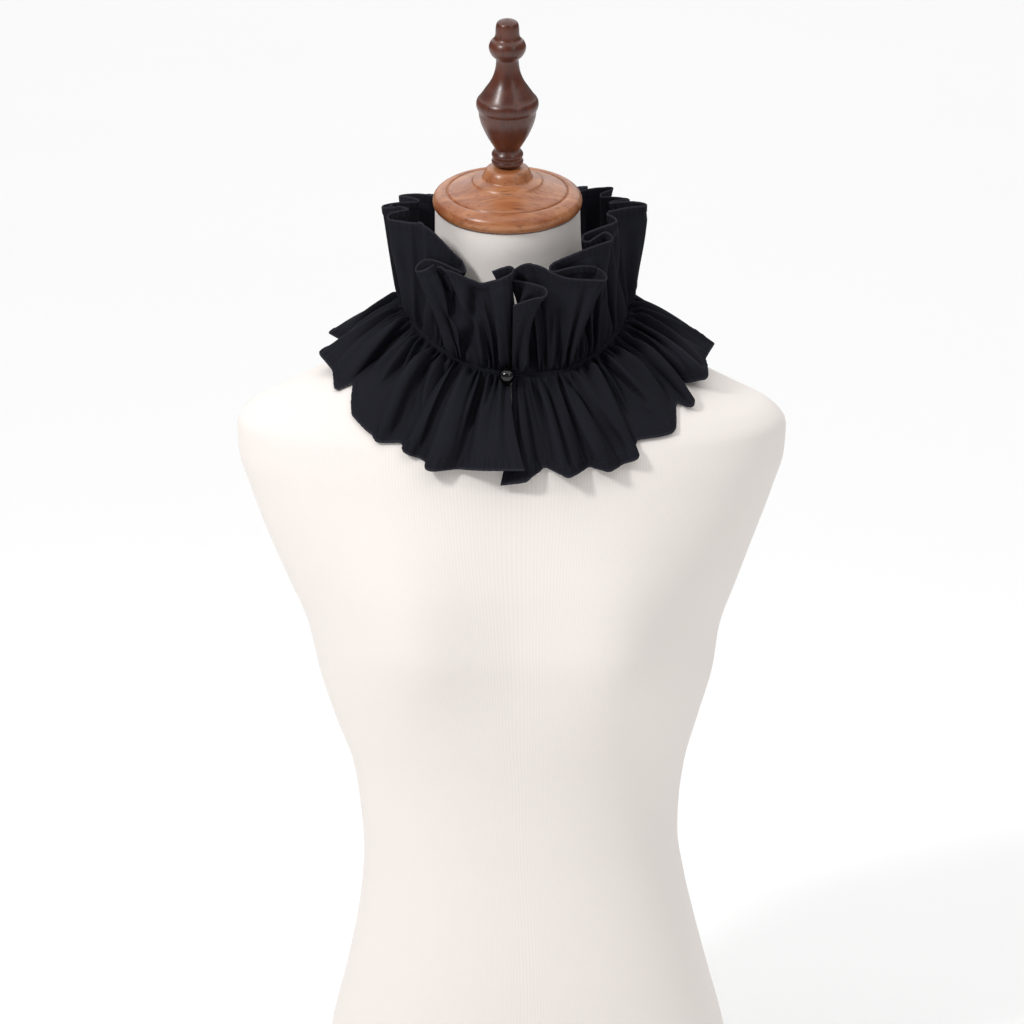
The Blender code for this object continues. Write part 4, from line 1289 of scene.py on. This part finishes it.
# %% [markdown]
# ## Button and loop
#
# The button is a polished ball on a short shank, turned about the axis that points to the front. The loop is
# a cord of two strands laid together. Its path starts and ends on the band and rounds the shank behind the
# ball. A node group sweeps the strands along the path and lets the curve's tilt twist them.

# %% Make the button
BUTTON_AT = (-3.2, 543.0)
BUTTON_RADIUS = 5.5
BUTTON_STANDS_OFF = 3.0
SHANK_RADIUS = 1.3
BALL_STEPS = 40
BAND_WALL = 1.4
PIECE_GAP = 0.3
face_y = SEAM_MIDDLE_Y - SEAM_HALF_DEPTH - BAND_WALL / 2 - PIECE_GAP


def build_button():
    neck = math.asin(SHANK_RADIUS / BUTTON_RADIUS)
    centre = BUTTON_STANDS_OFF + BUTTON_RADIUS * math.cos(neck)
    angle = np.linspace(neck, math.pi, BALL_STEPS)
    ball = np.stack([BUTTON_RADIUS * np.sin(angle), centre - BUTTON_RADIUS * np.cos(angle)], axis=1)
    line = np.concatenate([[[0, 0], [SHANK_RADIUS, 0]], ball])
    place = Matrix.Translation(Vector((BUTTON_AT[0], face_y, BUTTON_AT[1])) * MM)
    place = place @ Matrix.Rotation(math.radians(90), 4, "X")
    return turned_piece("ball_button", line, TURNING_STEPS // 2, resin, place)


button = build_button()
hand_over(button, "button_resin", "button")

# %% Make the twisted cord loop
CORD_RADIUS = 0.7
CORD_LAY = 2.6
CORD_STEP = 0.15
STRAND_SHARE = 0.52
STRAND_APART = 0.48
LOOP_REACH_RIGHT = 5.0
LOOP_ROOT_SPREAD = 0.95
LOOP_POINTS = 40
LOOP_HALF_MOUTH = math.radians(60)
LOOP_STANDS_OFF = 1.9


def cord_group():
    group, given, result = new_group("twisted_cord", "Radius", "Lay", "Step")
    line = add_node(group, "GeometryNodeMeshToCurve", {"Mesh": given.outputs["Geometry"]})
    spaced = add_node(
        group,
        "GeometryNodeResampleCurve",
        {"Curve": line.outputs[0], "Length": given.outputs["Step"]},
        mode="LENGTH",
    )
    along = add_node(group, "GeometryNodeSplineParameter")
    turns = add_node(
        group, "ShaderNodeMath", {0: along.outputs["Length"], 1: given.outputs["Lay"]}, operation="DIVIDE"
    )
    angle = add_node(group, "ShaderNodeMath", {0: turns.outputs[0], 1: 2 * math.pi}, operation="MULTIPLY")
    tilted = add_node(
        group, "GeometryNodeSetCurveTilt", {"Curve": spaced.outputs[0], "Tilt": angle.outputs[0]}
    )
    radius = given.outputs["Radius"]
    thick = add_node(group, "ShaderNodeMath", {0: radius, 1: STRAND_SHARE}, operation="MULTIPLY")
    strand = add_node(
        group, "GeometryNodeCurvePrimitiveCircle", {"Resolution": 10, "Radius": thick.outputs[0]}
    )
    pair = add_node(group, "GeometryNodeJoinGeometry")
    for side in (STRAND_APART, -STRAND_APART):
        offset = add_node(group, "ShaderNodeMath", {0: radius, 1: side}, operation="MULTIPLY")
        move = add_node(group, "ShaderNodeCombineXYZ", {"X": offset.outputs[0]})
        moved = add_node(
            group,
            "GeometryNodeTransform",
            {"Geometry": strand.outputs[0], "Translation": move.outputs[0]},
        )
        group.links.new(moved.outputs[0], pair.inputs[0])
    swept = add_node(
        group,
        "GeometryNodeCurveToMesh",
        {"Curve": tilted.outputs[0], "Profile Curve": pair.outputs[0], "Fill Caps": True},
    )
    smooth = add_node(group, "GeometryNodeSetShadeSmooth", {"Geometry": swept.outputs[0]})
    real = add_node(group, "GeometryNodeRealizeInstances", {"Geometry": smooth.outputs[0]})
    painted = add_node(
        group,
        "GeometryNodeSetMaterial",
        {"Geometry": real.outputs[0], "Material": given.outputs["Material"]},
    )
    group.links.new(painted.outputs[0], result.inputs[0])
    return group


def loop_route():
    """The cord's path: from the band's end round the shank and back."""
    x, z = BUTTON_AT
    radius = SHANK_RADIUS + CORD_RADIUS + PIECE_GAP
    on_band = face_y - CORD_RADIUS
    off_band = SEAM_MIDDLE_Y - SEAM_HALF_DEPTH - LOOP_STANDS_OFF - CORD_RADIUS
    angle = -LOOP_HALF_MOUTH - 2 * (math.pi - LOOP_HALF_MOUTH) * np.linspace(0, 1, LOOP_POINTS)
    bend = np.stack([x + radius * np.cos(angle), off_band + 0 * angle, z + radius * np.sin(angle)], axis=1)
    root = x + radius + LOOP_REACH_RIGHT
    low = np.array([[root, on_band, z - LOOP_ROOT_SPREAD], [x + radius, on_band, z - LOOP_ROOT_SPREAD]])
    high = low[::-1] * [1, 1, -1] + [0, 0, 2 * z]
    return np.concatenate([low, bend, high])


def build_loop():
    route = loop_route()
    made = make_object("cord_loop", route, [], thread, path_edges(route))
    settings = {"Radius": CORD_RADIUS * MM, "Lay": CORD_LAY * MM, "Step": CORD_STEP * MM}
    return with_group(made, cord_group(), **settings, Material=thread)


loop = build_loop()
hand_over(loop, "loop_cord", "button_loop")

# %% [markdown]
# ## Floor and light
#
# The photograph is a cut-out on white. A large pale floor stands in for the sweep of paper under a studio
# set, and a wide ceiling light keeps it white as far as the camera sees. A small strong light high on the
# left draws the folds with shadows, and a weak broad one on the right softens them. Both show in the button.

# %% Lay the floor and hang the lights
FLOOR_HALF_SIZE = 16.0
FLOOR_STEPS = 8
AIR_GLOW = 0.18
Softbox = namedtuple("Softbox", "name place aim width height watts")
SOFTBOXES = (
    Softbox("ceiling_light", (0, 8.0, 6.0), (0, 8.0, 0), 16, 28, 1560),
    Softbox("left_light", (-1.1, -1.1, 1.6), (0, 0, 0.55), 0.25, 0.35, 16),
    Softbox("right_light", (0.9, -1.2, 1.3), (0, 0, 0.5), 0.5, 0.8, 2.0),
)


def build_floor():
    side = np.linspace(-FLOOR_HALF_SIZE, FLOOR_HALF_SIZE, FLOOR_STEPS) / MM
    x, y = np.meshgrid(side, side, indexing="ij")
    points = np.stack([x, y, 0 * x], axis=-1).reshape(-1, 3)
    material, tree = new_material("white_background_paper")
    place = add_node(tree, "ShaderNodeTexCoord").outputs["Object"]
    tone = add_node(tree, "ShaderNodeTexNoise", {"Vector": place, "Scale": 0.8, "Detail": 3.0})
    colour = add_node(
        tree,
        "ShaderNodeMix",
        {"Factor": tone.outputs["Fac"], "A": linear("#f8f8f8"), "B": linear("#fafafa")},
        data_type="RGBA",
    )
    shader = add_node(
        tree, "ShaderNodeBsdfPrincipled", {"Base Color": colour.outputs["Result"], "Roughness": 0.9}
    )
    add_node(tree, "ShaderNodeOutputMaterial", {"Surface": shader.outputs[0]})
    faces = grid_faces(FLOOR_STEPS, FLOOR_STEPS, False)[:, ::-1].tolist()
    return make_object("floor", points, faces, material)


def hang_light(softbox):
    """A rectangular light at its place, turned to what it lights."""
    data = bpy.data.lights.new(softbox.name, "AREA")
    data.shape = "RECTANGLE"
    data.size, data.size_y = softbox.width, softbox.height
    data.energy = softbox.watts
    light = bpy.data.objects.new(softbox.name, data)
    light.location = softbox.place
    towards = Vector(softbox.aim) - Vector(softbox.place)
    light.rotation_euler = towards.to_track_quat("-Z", "Y").to_euler()
    bpy.context.scene.collection.objects.link(light)


floor = build_floor()
world = bpy.data.worlds.new("studio")
world.use_nodes = True
world.node_tree.nodes.clear()
air = {"Color": linear("#ffffff"), "Strength": AIR_GLOW}
glow = add_node(world.node_tree, "ShaderNodeBackground", air)
add_node(world.node_tree, "ShaderNodeOutputWorld", {"Surface": glow.outputs[0]})
bpy.context.scene.world = world
for softbox in SOFTBOXES:
    hang_light(softbox)
bpy.context.scene.view_settings.view_transform = "Standard"
print("lights", [o.name for o in bpy.data.objects if o.type == "LIGHT"])
